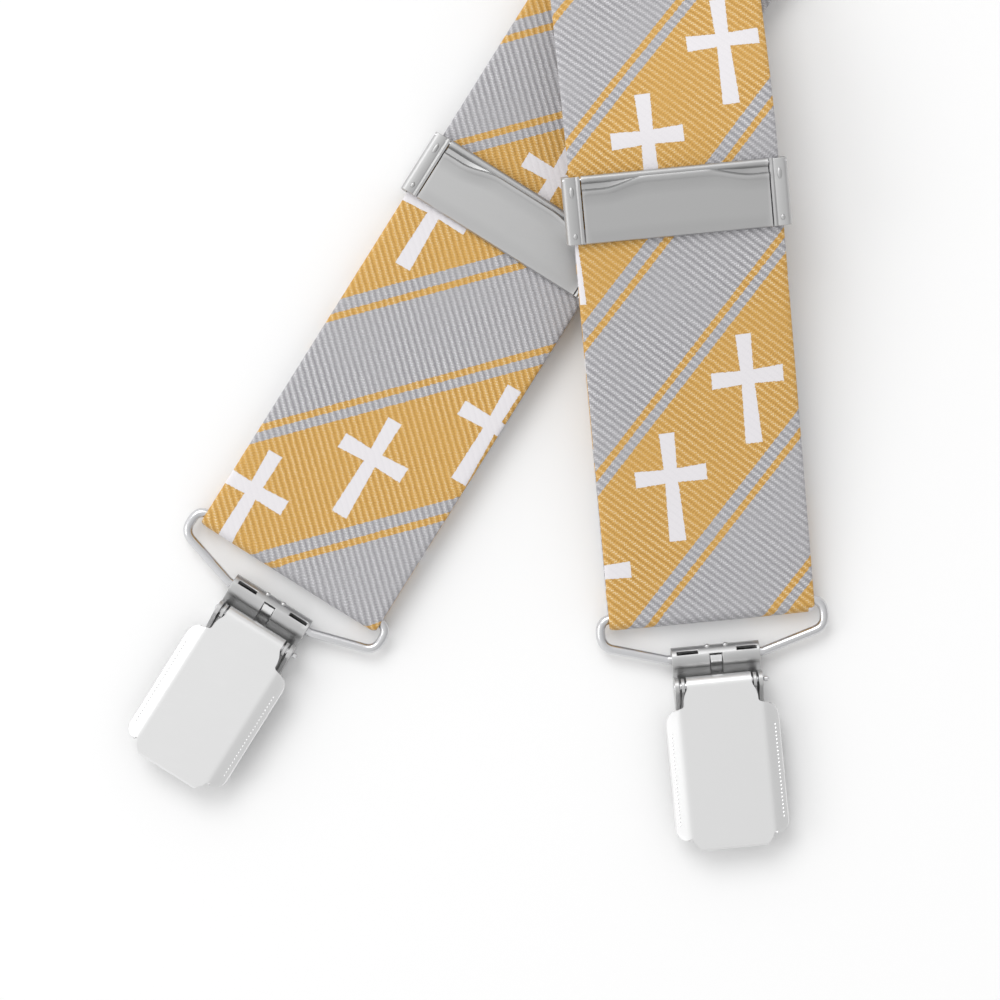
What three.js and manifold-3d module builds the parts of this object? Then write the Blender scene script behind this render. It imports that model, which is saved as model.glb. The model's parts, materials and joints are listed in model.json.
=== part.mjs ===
// Clip-on X-back suspenders, folded over at the shoulders and laid flat, front half on top.
// Millimetres, +Z up. The origin is the centre of the back patch's outer face, which lies on the table.
// +Y runs up towards the shoulder folds, and +X is to the right.
import * as THREE from 'three';
import { mergeVertices } from 'three/addons/utils/BufferGeometryUtils.js';
import Module from 'manifold-3d';

const wasm = await Module();
wasm.setup();

// ---------- driving dimensions ----------
const GAP = 0.3; // clearance between pieces that touch
const STRAP_WIDTH = 35;
const STRAP_THICKNESS = 1.0;
const WIRE = 1.6; // bail wire diameter
const LEAN = THREE.MathUtils.degToRad(18.8); // each front strap's heading away from +Y

// plan of a front strap: straight through the crossing, a bend back to parallel, then the shoulder
const STRAIGHT_ABOVE = 150; // from the crossing to the start of the bend
const FRONT_BEND = 500; // radius in plan
const SHOULDER_RUN = 140; // straight stretch up to the fold
const BACK_BEND = 500; // radius in plan of the half beneath, down to the patch
const FOLD_RADIUS = 3.2; // mid-surface radius of the shoulder fold
const BACK_TAIL = 128; // from the patch centre to the end of a back tail
const FOLD_NEAR = 7; // gap in plan between a tail's fold and a front strap that makes the strap rise
const FOLD_FAR = 10.5; // and the gap from which it lies level

// adjuster slide
const SLIDE_HEIGHT = 11.2; // along the strap
const SLIDE_WALL = 0.9;
const SIDE_CLEARANCE = 0.35; // strap edge to slide wall
const LEVER_PLATE = 1.0;
const BAR_PLATE = 0.8;
const BAR_DEPTH = 3.0; // rear bar, along the strap
const SLIDE_LIP = 3.0; // lip that each wall turns in over the strap
const SLIDE_PIN_RADIUS = 0.35;

// bail
const BAIL_CLEARANCE = 0.8; // strap edge to the inside of the wire
const BAIL_HEIGHT = 7.9; // between its two bars
const BARREL_END = 0.7; // barrel end to the bend of the wire
const BAIL_CORNER = 2.6; // bend radius on the wire's centre line
const BAIL_SIDE = 4.7; // length of the side that runs down from the wide bar
const WIRE_SIDES = 8;

// clip
const BASE_SHEET = 0.8;
const LEVER_SHEET = 0.6;
const BARREL_CLEARANCE = 0.4;
const CLIP_NECK = 15.0; // width over the ears
const CLIP_BACK = 30.6; // barrel centre to the lower end of the back jaw
const PIN_DROP = 4.6; // barrel centre to the hinge pin, along the clip
const PIN_RISE = 1.9; // hinge pin above the barrel centre
const PIN_RADIUS = 0.6;
const PIN_STUB = 1.1; // how far the pin stands out of the right ear
const LEVER_NECK = 12.6;
const LEVER_WIDTH = 18.8;
const LEVER_PANEL = 14.6; // raised panel between the wings
const LEVER_TOE = 13.4; // width of the narrowed lower end
const LEVER_SHOULDER = 8.2; // barrel centre to the shoulders
const LEVER_STEP = 30.2; // barrel centre to the step above the toe
const LEVER_END = 32.6; // barrel centre to the lower edge
const WING_DROP = 1.1; // how far the wings bend back
const JAW_WIDTH = CLIP_NECK - 2 * (BASE_SHEET + GAP) - 0.8;
const JAW_SHEET = 0.6;
const JAW_TOP = 6.6; // barrel centre to the jaw's upper edge
const JAW_END = 29.6;
const JAW_OPEN = 1.5; // clear height between back jaw and front jaw plate
const PAD_LENGTH = 6.0;
const PAD_THICKNESS = 0.8;
const TOOTH_PITCH = 2.0;
const SPRING_SHEET = 0.35;
const SPRING_WIDTH = 6.0;

// patch
const PATCH_MARGIN = 10.5; // beyond the strap, each side of the patch
const PATCH_LENGTH = 64;
const PATCH_OUTER = 1.4; // leather thickness
const PATCH_INNER = 1.2;

// ---------- materials ----------
const FINISH = {
  silk: { color: 0xcba45f, roughness: 0.6, metalness: 0 },
  elastic: { color: 0xb4b4b8, roughness: 0.8, metalness: 0 },
  leather: { color: 0x9a9a9c, roughness: 0.6, metalness: 0 },
  satin_nickel: { color: 0xb5b5b5, roughness: 0.4, metalness: 1 },
  nickel: { color: 0xd8d8d6, roughness: 0.2, metalness: 1 },
  steel: { color: 0xc4c4c8, roughness: 0.3, metalness: 1 },
  plastic: { color: 0xe8e8e4, roughness: 0.5, metalness: 0 },
};

// ---------- helpers ----------
const V = (x, y, z) => new THREE.Vector3(x, y, z);

function mesh(name, geometry, finish) {
  const made = new THREE.Mesh(geometry, new THREE.MeshStandardMaterial(FINISH[finish]));
  made.name = name;
  return made;
}

function solid(geometry) {
  geometry.deleteAttribute('normal');
  geometry.deleteAttribute('uv');
  const merged = mergeVertices(geometry, 1e-4);
  const vertProperties = merged.attributes.position.array;
  return new wasm.Manifold(new wasm.Mesh({
    numProp: 3,
    vertProperties,
    triVerts: new Uint32Array(merged.index.array),
  }));
}

function geometryOf(manifold) {
  const { vertProperties, triVerts } = manifold.getMesh();
  const geometry = new THREE.BufferGeometry();
  geometry.setAttribute('position', new THREE.BufferAttribute(vertProperties, 3));
  geometry.setIndex(new THREE.BufferAttribute(triVerts, 1));
  return geometry;
}

const union = (...solids) => solids.reduce((all, next) => all.add(next));

function shapeOf(points) {
  return new THREE.Shape(points.map(([x, y]) => new THREE.Vector2(x, y)));
}

// An outline drawn in (y, z), extruded along X from x0 to x1.
function alongX(shape, x0, x1, curveSegments = 6) {
  const options = { depth: x1 - x0, bevelEnabled: false, curveSegments };
  const made = new THREE.ExtrudeGeometry(shape, options);
  made.applyMatrix4(new THREE.Matrix4().makeBasis(V(0, 1, 0), V(0, 0, 1), V(1, 0, 0)));
  return solid(made.translate(x0, 0, 0));
}

// An outline drawn in (x, z), extruded along Y from y0 to y1.
function alongY(shape, y0, y1) {
  const made = new THREE.ExtrudeGeometry(shape, { depth: y1 - y0, bevelEnabled: false });
  made.applyMatrix4(new THREE.Matrix4().makeBasis(V(1, 0, 0), V(0, 0, 1), V(0, -1, 0)));
  return solid(made.translate(0, y1, 0));
}

// An outline drawn in (x, y), extruded along Z from z0 to z1.
function alongZ(shape, z0, z1, curveSegments = 5) {
  const made = new THREE.ExtrudeGeometry(shape, { depth: z1 - z0, bevelEnabled: false, curveSegments });
  return solid(made.translate(0, 0, z0));
}

function box(x0, x1, y0, y1, z0, z1) {
  const made = new THREE.BoxGeometry(x1 - x0, y1 - y0, z1 - z0);
  return solid(made.translate((x0 + x1) / 2, (y0 + y1) / 2, (z0 + z1) / 2));
}

// A full ring in (y, z) about (y, z) = centre, with its bore.
function ringShape([y, z], outer, inner) {
  const shape = new THREE.Shape().absarc(y, z, outer, 0, 2 * Math.PI, false);
  shape.holes.push(new THREE.Path().absarc(y, z, inner, 0, 2 * Math.PI, true));
  return shape;
}

// A closed section is carried along stations { p, w, n }: its x follows w and its z follows n.
function sweep(section, stations) {
  const last = stations.length - 1;
  const position = section.getAttribute('position');
  for (let i = 0; i < position.count; i += 1) {
    const { p, w, n } = stations[Math.round((position.getY(i) + 0.5) * last)];
    const at = p.clone().addScaledVector(w, position.getX(i)).addScaledVector(n, position.getZ(i));
    position.setXYZ(i, at.x, at.y, at.z);
  }
  section.deleteAttribute('normal');
  section.deleteAttribute('uv');
  const merged = mergeVertices(section, 1e-4);
  merged.computeVertexNormals();
  return merged;
}

// Stations of a ribbon from points { x, y, z, heading }; its width stays level and square to heading.
function ribbonStations(points) {
  return points.map((at, i) => {
    const before = points[Math.max(i - 1, 0)];
    const after = points[Math.min(i + 1, points.length - 1)];
    const t = V(after.x - before.x, after.y - before.y, after.z - before.z).normalize();
    const w = V(Math.cos(at.heading), -Math.sin(at.heading), 0);
    const n = new THREE.Vector3().crossVectors(w, t).normalize();
    return { p: V(at.x, at.y, at.z), w, n };
  });
}

function ribbon(points, width = STRAP_WIDTH) {
  const steps = points.length - 1;
  const section = new THREE.BoxGeometry(width, 1, STRAP_THICKNESS, 1, steps, 1);
  return sweep(section, ribbonStations(points));
}

// Heights between [place, z] pairs, eased so that the strap is level at each pair.
function eased(pairs, at) {
  const next = pairs.findIndex(([place]) => place > at);
  if (next === -1) return pairs[pairs.length - 1][1];
  if (next === 0) return pairs[0][1];
  const [[u0, z0], [u1, z1]] = [pairs[next - 1], pairs[next]];
  const t = (at - u0) / (u1 - u0);
  return z0 + (z1 - z0) * t * t * (3 - 2 * t);
}

function range(from, to, steps) {
  return Array.from({ length: steps + 1 }, (_, i) => from + ((to - from) * i) / steps);
}

// ---------- plan of the straps ----------
const BEND_END = STRAIGHT_ABOVE + FRONT_BEND * LEAN;
const SHOULDER = BEND_END + SHOULDER_RUN;
const BEND_X = STRAIGHT_ABOVE * Math.sin(LEAN) + FRONT_BEND * (1 - Math.cos(LEAN));
const BEND_Y = STRAIGHT_ABOVE * Math.cos(LEAN) + FRONT_BEND * Math.sin(LEAN);
const SHOULDER_Y = BEND_Y + SHOULDER_RUN;
const BACK_LEAN = Math.acos(1 - BEND_X / BACK_BEND);
const BACK_RUN = BACK_BEND * BACK_LEAN;
const PATCH_Y = SHOULDER_Y - BACK_BEND * Math.sin(BACK_LEAN);
// the straps stay level this far from the patch centre, as long as their bands overlap
const PATCH_HOLD = (STRAP_WIDTH / 2) / Math.tan(BACK_LEAN) + 1.8;

// ---------- heights shared by the pieces ----------
const LOOP = WIRE / 2 + GAP + STRAP_THICKNESS / 2; // mid-surface radius of a strap round a bail
const BAR_LEVEL = BASE_SHEET + BARREL_CLEARANCE + WIRE / 2 + 0.1; // bail bar above the table, clip face up
const PLATE_TOP = PIN_RISE + PIN_RADIUS + GAP + LEVER_SHEET; // top of the lever above the barrel centre
const BACK_LEVEL = PLATE_TOP; // bail bar above the table, clip face down
const LAYER = STRAP_THICKNESS + GAP;
const TABLE = STRAP_THICKNESS / 2;
const MAIN_TO_END = -LAYER; // slide levels, from the mid-surface of the strap that passes through
const BAR_TOP = MAIN_TO_END - STRAP_THICKNESS / 2 - GAP;
const BAR_BOTTOM = BAR_TOP - BAR_PLATE;
const MAIN_TO_TAIL = BAR_BOTTOM - GAP - STRAP_THICKNESS / 2;
const LEVER_LOW = STRAP_THICKNESS / 2 + GAP;
const LEVER_HIGH = LEVER_LOW + LEVER_PLATE;

const PATCH_LEVEL = { a: PATCH_OUTER + GAP + TABLE + LAYER, b: PATCH_OUTER + GAP + TABLE };

// A tail's folded end lies outside the front straps; where their edges reach it, they rise over it.
const TAIL_BAR = BACK_RUN + BACK_TAIL - LOOP - STRAP_THICKNESS / 2;
const TAIL_END = backPlan(TAIL_BAR, -1);
const FOLD_GAP = TAIL_END.x * Math.cos(LEAN) - TAIL_END.y * Math.sin(LEAN)
  - (1 + Math.cos(BACK_LEAN + LEAN)) * STRAP_WIDTH / 2;
const FOLD_SPACE = THREE.MathUtils.clamp((FOLD_GAP - FOLD_NEAR) / (FOLD_FAR - FOLD_NEAR), 0, 1);
const OVER_PATCH = PATCH_LEVEL.a + LAYER + 0.4;
const OVER_FOLD = BACK_LEVEL + LOOP + STRAP_THICKNESS + GAP;
const OVER_TAILS = THREE.MathUtils.lerp(OVER_FOLD, OVER_PATCH, FOLD_SPACE);
const OVER_RETURN = TABLE + LAYER + 0.3; // clears the half beneath, near the shoulder
const UPPER_LEVELS = [
  [PATCH_Y + 20, OVER_TAILS], [PATCH_Y + 120, OVER_RETURN], [SHOULDER - 59, OVER_RETURN],
];

// the two front straps: a crosses beneath b, and slide b lies over the corner of slide a
// Places are along the strap from the crossing; levels are [place, mid-surface height] above the slide.
const END_A = -116.7;
const END_B = -106.7;
const SLIDE_A = -44.7;
const SLIDE_B = -36.0;
const SLOPE_A = THREE.MathUtils.degToRad(0.4);
const FOLD_INSET = LOOP + STRAP_THICKNESS / 2; // strap end to the bail bar

// Slope that lifts strap b's tail over slide a, whose far corner lies at CORNER_PLACE along strap b.
const CORNER_PLACE = -51.5;
const LEVER_ROOM = 1.7; // left between slide a and the strap that lies across it
const SLIDE_A_TOP = BAR_LEVEL + LOOP + (SLIDE_A - END_A - FOLD_INSET) * Math.tan(SLOPE_A) + LEVER_HIGH;
const CORNER_RISE = SLIDE_A_TOP + LEVER_ROOM + TABLE - (BAR_LEVEL - LOOP);
const TAIL_RISE = CORNER_RISE / (CORNER_PLACE - END_B - FOLD_INSET);
const SLOPE_B = Math.atan(TAIL_RISE - (MAIN_TO_TAIL + 2 * LOOP) / (SLIDE_B - END_B - FOLD_INSET));

const FRONTS = {
  a: {
    name: 'a',
    side: 1,
    end: END_A,
    slide: SLIDE_A,
    slope: SLOPE_A,
    leave: SLIDE_A + SLIDE_HEIGHT / 2 + 2.6,
    levels: [[0, OVER_TAILS - 0.5], [60, OVER_TAILS], ...UPPER_LEVELS],
  },
  b: {
    name: 'b',
    side: -1,
    end: END_B,
    slide: SLIDE_B,
    slope: SLOPE_B,
    leave: SLIDE_B + SLIDE_HEIGHT / 2 + 4.4,
    levels: [[12, OVER_TAILS + 2 * LAYER + 0.5], [55, OVER_TAILS + LAYER + 0.7], [110, OVER_TAILS],
      ...UPPER_LEVELS],
  },
};

// ---------- lines of the straps ----------
// Place on a front strap's centre line, u from the crossing.
function frontPlan(u, side) {
  if (u <= STRAIGHT_ABOVE) {
    return { x: side * u * Math.sin(LEAN), y: u * Math.cos(LEAN), heading: side * LEAN };
  }
  if (u <= BEND_END) {
    const turn = LEAN - (u - STRAIGHT_ABOVE) / FRONT_BEND;
    return {
      x: side * (BEND_X - FRONT_BEND * (1 - Math.cos(turn))),
      y: BEND_Y - FRONT_BEND * Math.sin(turn),
      heading: side * turn,
    };
  }
  return { x: side * BEND_X, y: BEND_Y + u - BEND_END, heading: 0 };
}

// Place on the half beneath, v from the shoulder fold; past BACK_RUN it is the tail, straight on.
function backPlan(v, side) {
  const turn = Math.min(v, BACK_RUN) / BACK_BEND;
  const past = Math.max(v - BACK_RUN, 0);
  return {
    x: side * (BEND_X - BACK_BEND * (1 - Math.cos(turn)) - past * Math.sin(turn)),
    y: SHOULDER_Y - BACK_BEND * Math.sin(turn) - past * Math.cos(turn),
    heading: side * turn,
  };
}

// Points of a half turn in the vertical plane along heading, about a level bar at plan and z.
function turnPoints(plan, z, radius, from, to, steps, forward) {
  return range(from, to, steps).map((angle) => ({
    x: plan.x - forward * radius * Math.cos(angle) * Math.sin(plan.heading),
    y: plan.y - forward * radius * Math.cos(angle) * Math.cos(plan.heading),
    z: z + radius * Math.sin(angle),
    heading: plan.heading,
  }));
}

// ---------- straps ----------
function frontMetrics(side) {
  const { end, slide, slope } = side;
  const fold = end + FOLD_INSET;
  const lineAt = (u) => BAR_LEVEL + LOOP / Math.cos(slope) + (u - fold) * Math.tan(slope);
  const slideZ = lineAt(slide);
  const tailSlope = Math.atan((slideZ + MAIN_TO_TAIL - (BAR_LEVEL - LOOP)) / (slide - fold));
  const tailAt = (u) => BAR_LEVEL - LOOP / Math.cos(tailSlope) + (u - fold) * Math.tan(tailSlope);
  return { ...side, fold, lineAt, slideZ, tailSlope, tailAt };
}

// The front run, from its fold round the bail up to and round the fold at the shoulder.
function frontStrap(front) {
  const { side, fold, slope, slide, leave, lineAt, levels, tailSlope } = frontMetrics(front);
  const quarter = Math.PI / 2;
  const bottom = turnPoints(
    frontPlan(fold, side), BAR_LEVEL, LOOP, -(quarter + tailSlope), quarter - slope, 10, 1,
  );
  const line = [fold + 12, slide, leave].map((u) => ({ ...frontPlan(u, side), z: lineAt(u) }));
  const foldTop = TABLE + 2 * FOLD_RADIUS;
  const profile = [[leave, lineAt(leave)], ...levels, [SHOULDER, foldTop]];
  const upper = range(leave, SHOULDER, 52).slice(1)
    .map((u) => ({ ...frontPlan(u, side), z: eased(profile, u) }));
  const top = turnPoints(
    frontPlan(SHOULDER, side), TABLE + FOLD_RADIUS, FOLD_RADIUS, quarter, -quarter, 8, -1,
  ).slice(1);
  return ribbon([...bottom, ...line, ...upper, ...top]);
}

// The same strap's back run, which lies on the table from the shoulder fold to the patch centre.
function backStrap({ name, side }) {
  const under = [[0, TABLE], [BACK_RUN - 70, TABLE], [BACK_RUN - PATCH_HOLD, PATCH_LEVEL[name]]];
  return ribbon(range(GAP, BACK_RUN - GAP / 2, 28)
    .map((v) => ({ ...backPlan(v, side), z: eased(under, v) })));
}

// The doubled run beneath the strap, from the bail's fold up to the slide's rear bar.
function adjusterTail(front) {
  const { side, fold, slide, tailSlope, tailAt } = frontMetrics(front);
  const start = fold + LOOP * Math.sin(tailSlope) + GAP;
  const stop = slide - SLIDE_HEIGHT / 2 + BAR_DEPTH / 2;
  return ribbon(range(start, stop, 6).map((u) => ({ ...frontPlan(u, side), z: tailAt(u) })));
}

// The strap's end turned round the rear bar, in the slide's frame, drawn in (y, z) along the strap.
function adjusterEnd() {
  const bar = -SLIDE_HEIGHT / 2;
  const middle = (BAR_TOP + BAR_BOTTOM) / 2;
  const reach = (MAIN_TO_END - MAIN_TO_TAIL) / 2;
  const turn = range(-Math.PI / 2, Math.PI / 2, 8).map((angle) => ({
    x: 0,
    y: bar + BAR_DEPTH + 0.1 + reach * 0.75 * Math.cos(angle),
    z: middle + reach * Math.sin(angle),
    heading: 0,
  }));
  const sewn = MAIN_TO_TAIL + LAYER;
  const start = { x: 0, y: bar + BAR_DEPTH / 2 + GAP, z: MAIN_TO_TAIL, heading: 0 };
  const back = range(0, 1, 5).map((t) => ({
    x: 0,
    y: bar - 0.2 - 6 * t,
    z: eased([[0, MAIN_TO_END], [1, sewn]], t),
    heading: 0,
  }));
  return ribbon([start, ...turn, ...back, { x: 0, y: bar - 15, z: sewn, heading: 0 }]);
}

// An elastic tail: from the patch, round the back bail, and its sewn end beneath itself.
function backTail(side, name) {
  const bar = TAIL_BAR;
  const upper = [
    [BACK_RUN + PATCH_HOLD, PATCH_LEVEL[name]], [BACK_RUN + 62, TABLE + 0.4],
    [bar - 33, TABLE + LAYER + 0.1], [bar, BACK_LEVEL + LOOP],
  ];
  const lower = [[bar - 26, TABLE], [bar, BACK_LEVEL - LOOP]];
  const quarter = Math.PI / 2;
  const out = range(BACK_RUN + GAP / 2, bar, 22).map((v) => ({ ...backPlan(v, side), z: eased(upper, v) }));
  const turn = turnPoints(backPlan(bar, side), BACK_LEVEL, LOOP, quarter, -quarter, 8, 1).slice(1);
  const home = range(bar, bar - 30, 8).slice(1)
    .map((v) => ({ ...backPlan(v, side), z: eased(lower, v) }));
  return ribbon([...out, ...turn, ...home]);
}

// ---------- slide: origin on the strap's mid-surface, +Y up the strap ----------
const STRAP_SIDE = STRAP_WIDTH / 2 + SIDE_CLEARANCE; // inner face of a slide wall
const SLIDE_SIDE = STRAP_SIDE + SLIDE_WALL;
const LIP_EDGE = SLIDE_SIDE - SLIDE_LIP;
const SLIDE_HINGE = [SLIDE_HEIGHT / 2 - LEVER_PLATE / 2, LEVER_LOW + LEVER_PLATE / 2];
const CLAMP_BAR = 2.4; // depth of the bar that the cam presses the strap on

function slideFrame() {
  const half = SLIDE_HEIGHT / 2;
  const walls = [-1, 1].map((s) => {
    const [x0, x1] = s > 0 ? [STRAP_SIDE, SLIDE_SIDE] : [-SLIDE_SIDE, -STRAP_SIDE];
    const [lip0, lip1] = s > 0 ? [LIP_EDGE, SLIDE_SIDE] : [-SLIDE_SIDE, -LIP_EDGE];
    const lip = box(lip0, lip1, -half, half, LEVER_LOW, LEVER_HIGH - 0.2);
    return union(box(x0, x1, -half, half, BAR_BOTTOM, LEVER_HIGH - 0.2), lip);
  });
  const rear = box(-SLIDE_SIDE, SLIDE_SIDE, -half, -half + BAR_DEPTH, BAR_BOTTOM, BAR_TOP);
  const clampTop = -STRAP_THICKNESS / 2 - GAP;
  const clamp = box(-SLIDE_SIDE, SLIDE_SIDE, half - CLAMP_BAR, half, BAR_BOTTOM, clampTop);
  const bore = alongX(
    new THREE.Shape().absarc(...SLIDE_HINGE, SLIDE_PIN_RADIUS + GAP / 3, 0, 2 * Math.PI, false),
    -SLIDE_SIDE - 1, SLIDE_SIDE + 1,
  );
  return geometryOf(union(...walls, rear, clamp).subtract(bore));
}

function slideLever() {
  const [hingeY, hingeZ] = SLIDE_HINGE;
  const reach = LIP_EDGE - GAP;
  const shape = new THREE.Shape()
    .moveTo(hingeY, LEVER_LOW)
    .absarc(hingeY, hingeZ, LEVER_PLATE / 2, -Math.PI / 2, Math.PI / 2, false)
    .lineTo(-SLIDE_HEIGHT / 2, LEVER_HIGH)
    .lineTo(-SLIDE_HEIGHT / 2, LEVER_LOW);
  const bore = alongX(
    new THREE.Shape().absarc(hingeY, hingeZ, SLIDE_PIN_RADIUS + 0.05, 0, 2 * Math.PI, false),
    -reach - 1, reach + 1,
  );
  return geometryOf(alongX(shape, -reach, reach).subtract(bore));
}

function slidePin() {
  const made = new THREE.CylinderGeometry(SLIDE_PIN_RADIUS, SLIDE_PIN_RADIUS, 2 * SLIDE_SIDE, 10);
  return made.rotateZ(Math.PI / 2).translate(0, ...SLIDE_HINGE);
}

// ---------- clip: origin at the centre of the barrel, +Y towards the strap, +Z to the front ----------
const BARREL_INNER = WIRE / 2 + BARREL_CLEARANCE;
const BARREL_OUTER = BARREL_INNER + BASE_SHEET;
const FLOOR = -BAR_LEVEL;
const BASE_TOP = FLOOR + BASE_SHEET;
const HINGE = [-PIN_DROP, PIN_RISE];
const EAR_INNER = CLIP_NECK / 2 - BASE_SHEET;
const JAW_EAR = [EAR_INNER - GAP - JAW_SHEET, EAR_INNER - GAP];
const CURL_SIDE = JAW_EAR[0] - GAP;
const BORE = PIN_RADIUS + GAP;
const CURL_OUTER = BORE + LEVER_SHEET;
const JAW_LOW = BASE_TOP + JAW_OPEN;

function clipBase() {
  const side = CLIP_NECK / 2;
  const barrel = alongX(ringShape([0, 0], BARREL_OUTER, BARREL_INNER), -side, side, 10);
  const neckFoot = -6.4;
  const neck = alongX(shapeOf([
    [neckFoot, FLOOR], [neckFoot, BASE_TOP], [-1.75, 0.9], [-1.1, 1.6], [-1.22, 0.35], [-5.2, FLOOR],
  ]), -side, side);
  const plate = box(-LEVER_TOE / 2 + 0.4, LEVER_TOE / 2 - 0.4, -CLIP_BACK, neckFoot + 1, FLOOR, BASE_TOP);
  const shoulders = box(-side, side, -LEVER_SHOULDER - 1, neckFoot + 1, FLOOR, BASE_TOP);
  const lip = box(-JAW_WIDTH / 2, JAW_WIDTH / 2, -CLIP_BACK, -CLIP_BACK + BASE_SHEET, FLOOR,
    BASE_TOP + PAD_THICKNESS + GAP);
  const earShape = new THREE.Shape()
    .moveTo(-LEVER_SHOULDER - 1, FLOOR)
    .lineTo(-PIN_DROP + 1.6, FLOOR)
    .lineTo(-PIN_DROP + 1.4, PIN_RISE)
    .absarc(-PIN_DROP, PIN_RISE, 1.4, 0, Math.PI, false)
    .lineTo(-LEVER_SHOULDER - 1, BASE_TOP);
  const ears = [[-side, -EAR_INNER], [EAR_INNER, side]].map(([x0, x1]) => alongX(earShape, x0, x1, 10));
  const bore = alongX(new THREE.Shape().absarc(...HINGE, BORE, 0, 2 * Math.PI, false), -side - 1, side + 1);
  const window = box(-1.1, 1.1, -5.0, -2.3, FLOOR - 1, BARREL_OUTER + 1);
  return geometryOf(union(barrel, neck, plate, shoulders, lip, ...ears).subtract(bore).subtract(window));
}

function gripPad() {
  const y0 = -CLIP_BACK + BASE_SHEET + GAP;
  const half = JAW_WIDTH / 2 - 0.5;
  const z0 = BASE_TOP + GAP / 3;
  let pad = box(-half, half, y0, y0 + PAD_LENGTH, z0, z0 + PAD_THICKNESS);
  for (let y = y0 + 1; y < y0 + PAD_LENGTH - 0.5; y += 1.4) {
    pad = pad.subtract(box(-half - 1, half + 1, y, y + 0.5, z0 + PAD_THICKNESS - 0.3, z0 + 2));
  }
  return geometryOf(pad);
}

function hingePin() {
  const from = -CLIP_NECK / 2 - 0.3;
  const to = CLIP_NECK / 2 + PIN_STUB;
  const made = new THREE.CylinderGeometry(PIN_RADIUS, PIN_RADIUS, to - from, 12);
  return made.rotateZ(Math.PI / 2).translate((from + to) / 2, ...HINGE);
}

function clipJaw() {
  const half = JAW_WIDTH / 2;
  const plate = box(-half, half, -JAW_END, -JAW_TOP, JAW_LOW, JAW_LOW + JAW_SHEET);
  const toothTop = JAW_LOW + JAW_SHEET;
  const toothTip = BASE_TOP + PAD_THICKNESS + 2 * GAP;
  const teeth = [[-half, toothTop]];
  const count = Math.round(JAW_WIDTH / TOOTH_PITCH);
  for (let i = 0; i < count; i += 1) {
    const x = -half + (i * JAW_WIDTH) / count;
    teeth.push([x, toothTip + 0.5], [x + JAW_WIDTH / count / 2, toothTip]);
  }
  teeth.push([half, toothTip + 0.5], [half, toothTop]);
  const lip = alongY(shapeOf(teeth), -JAW_END, -JAW_END + JAW_SHEET);
  const earShape = new THREE.Shape()
    .moveTo(-JAW_TOP - 2, JAW_LOW)
    .lineTo(-PIN_DROP - 0.9, JAW_LOW)
    .lineTo(-PIN_DROP + 1.25, PIN_RISE - 0.4)
    .absarc(-PIN_DROP, PIN_RISE, 1.3, -0.31, Math.PI, false)
    .lineTo(-JAW_TOP - 2, JAW_LOW + JAW_SHEET);
  const ears = [-1, 1].map((s) => {
    const [x0, x1] = s > 0 ? JAW_EAR : [-JAW_EAR[1], -JAW_EAR[0]];
    return alongX(earShape, x0, x1, 10);
  });
  const bore = alongX(new THREE.Shape().absarc(...HINGE, BORE, 0, 2 * Math.PI, false), -half - 2, half + 2);
  return geometryOf(union(plate, lip, ...ears).subtract(bore));
}

function jawSpring() {
  const z0 = JAW_LOW + JAW_SHEET + GAP + SPRING_SHEET / 2;
  const top = PLATE_TOP - LEVER_SHEET - GAP - SPRING_SHEET / 2;
  const points = range(0, 1, 10).map((t) => ({
    x: 0,
    y: -JAW_TOP - 2 - 14 * t,
    z: z0 + (top - z0) * Math.sin(Math.PI * t),
    heading: Math.PI,
  }));
  const section = new THREE.BoxGeometry(SPRING_WIDTH, 1, SPRING_SHEET, 1, points.length - 1, 1);
  return sweep(section, ribbonStations(points));
}

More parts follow.
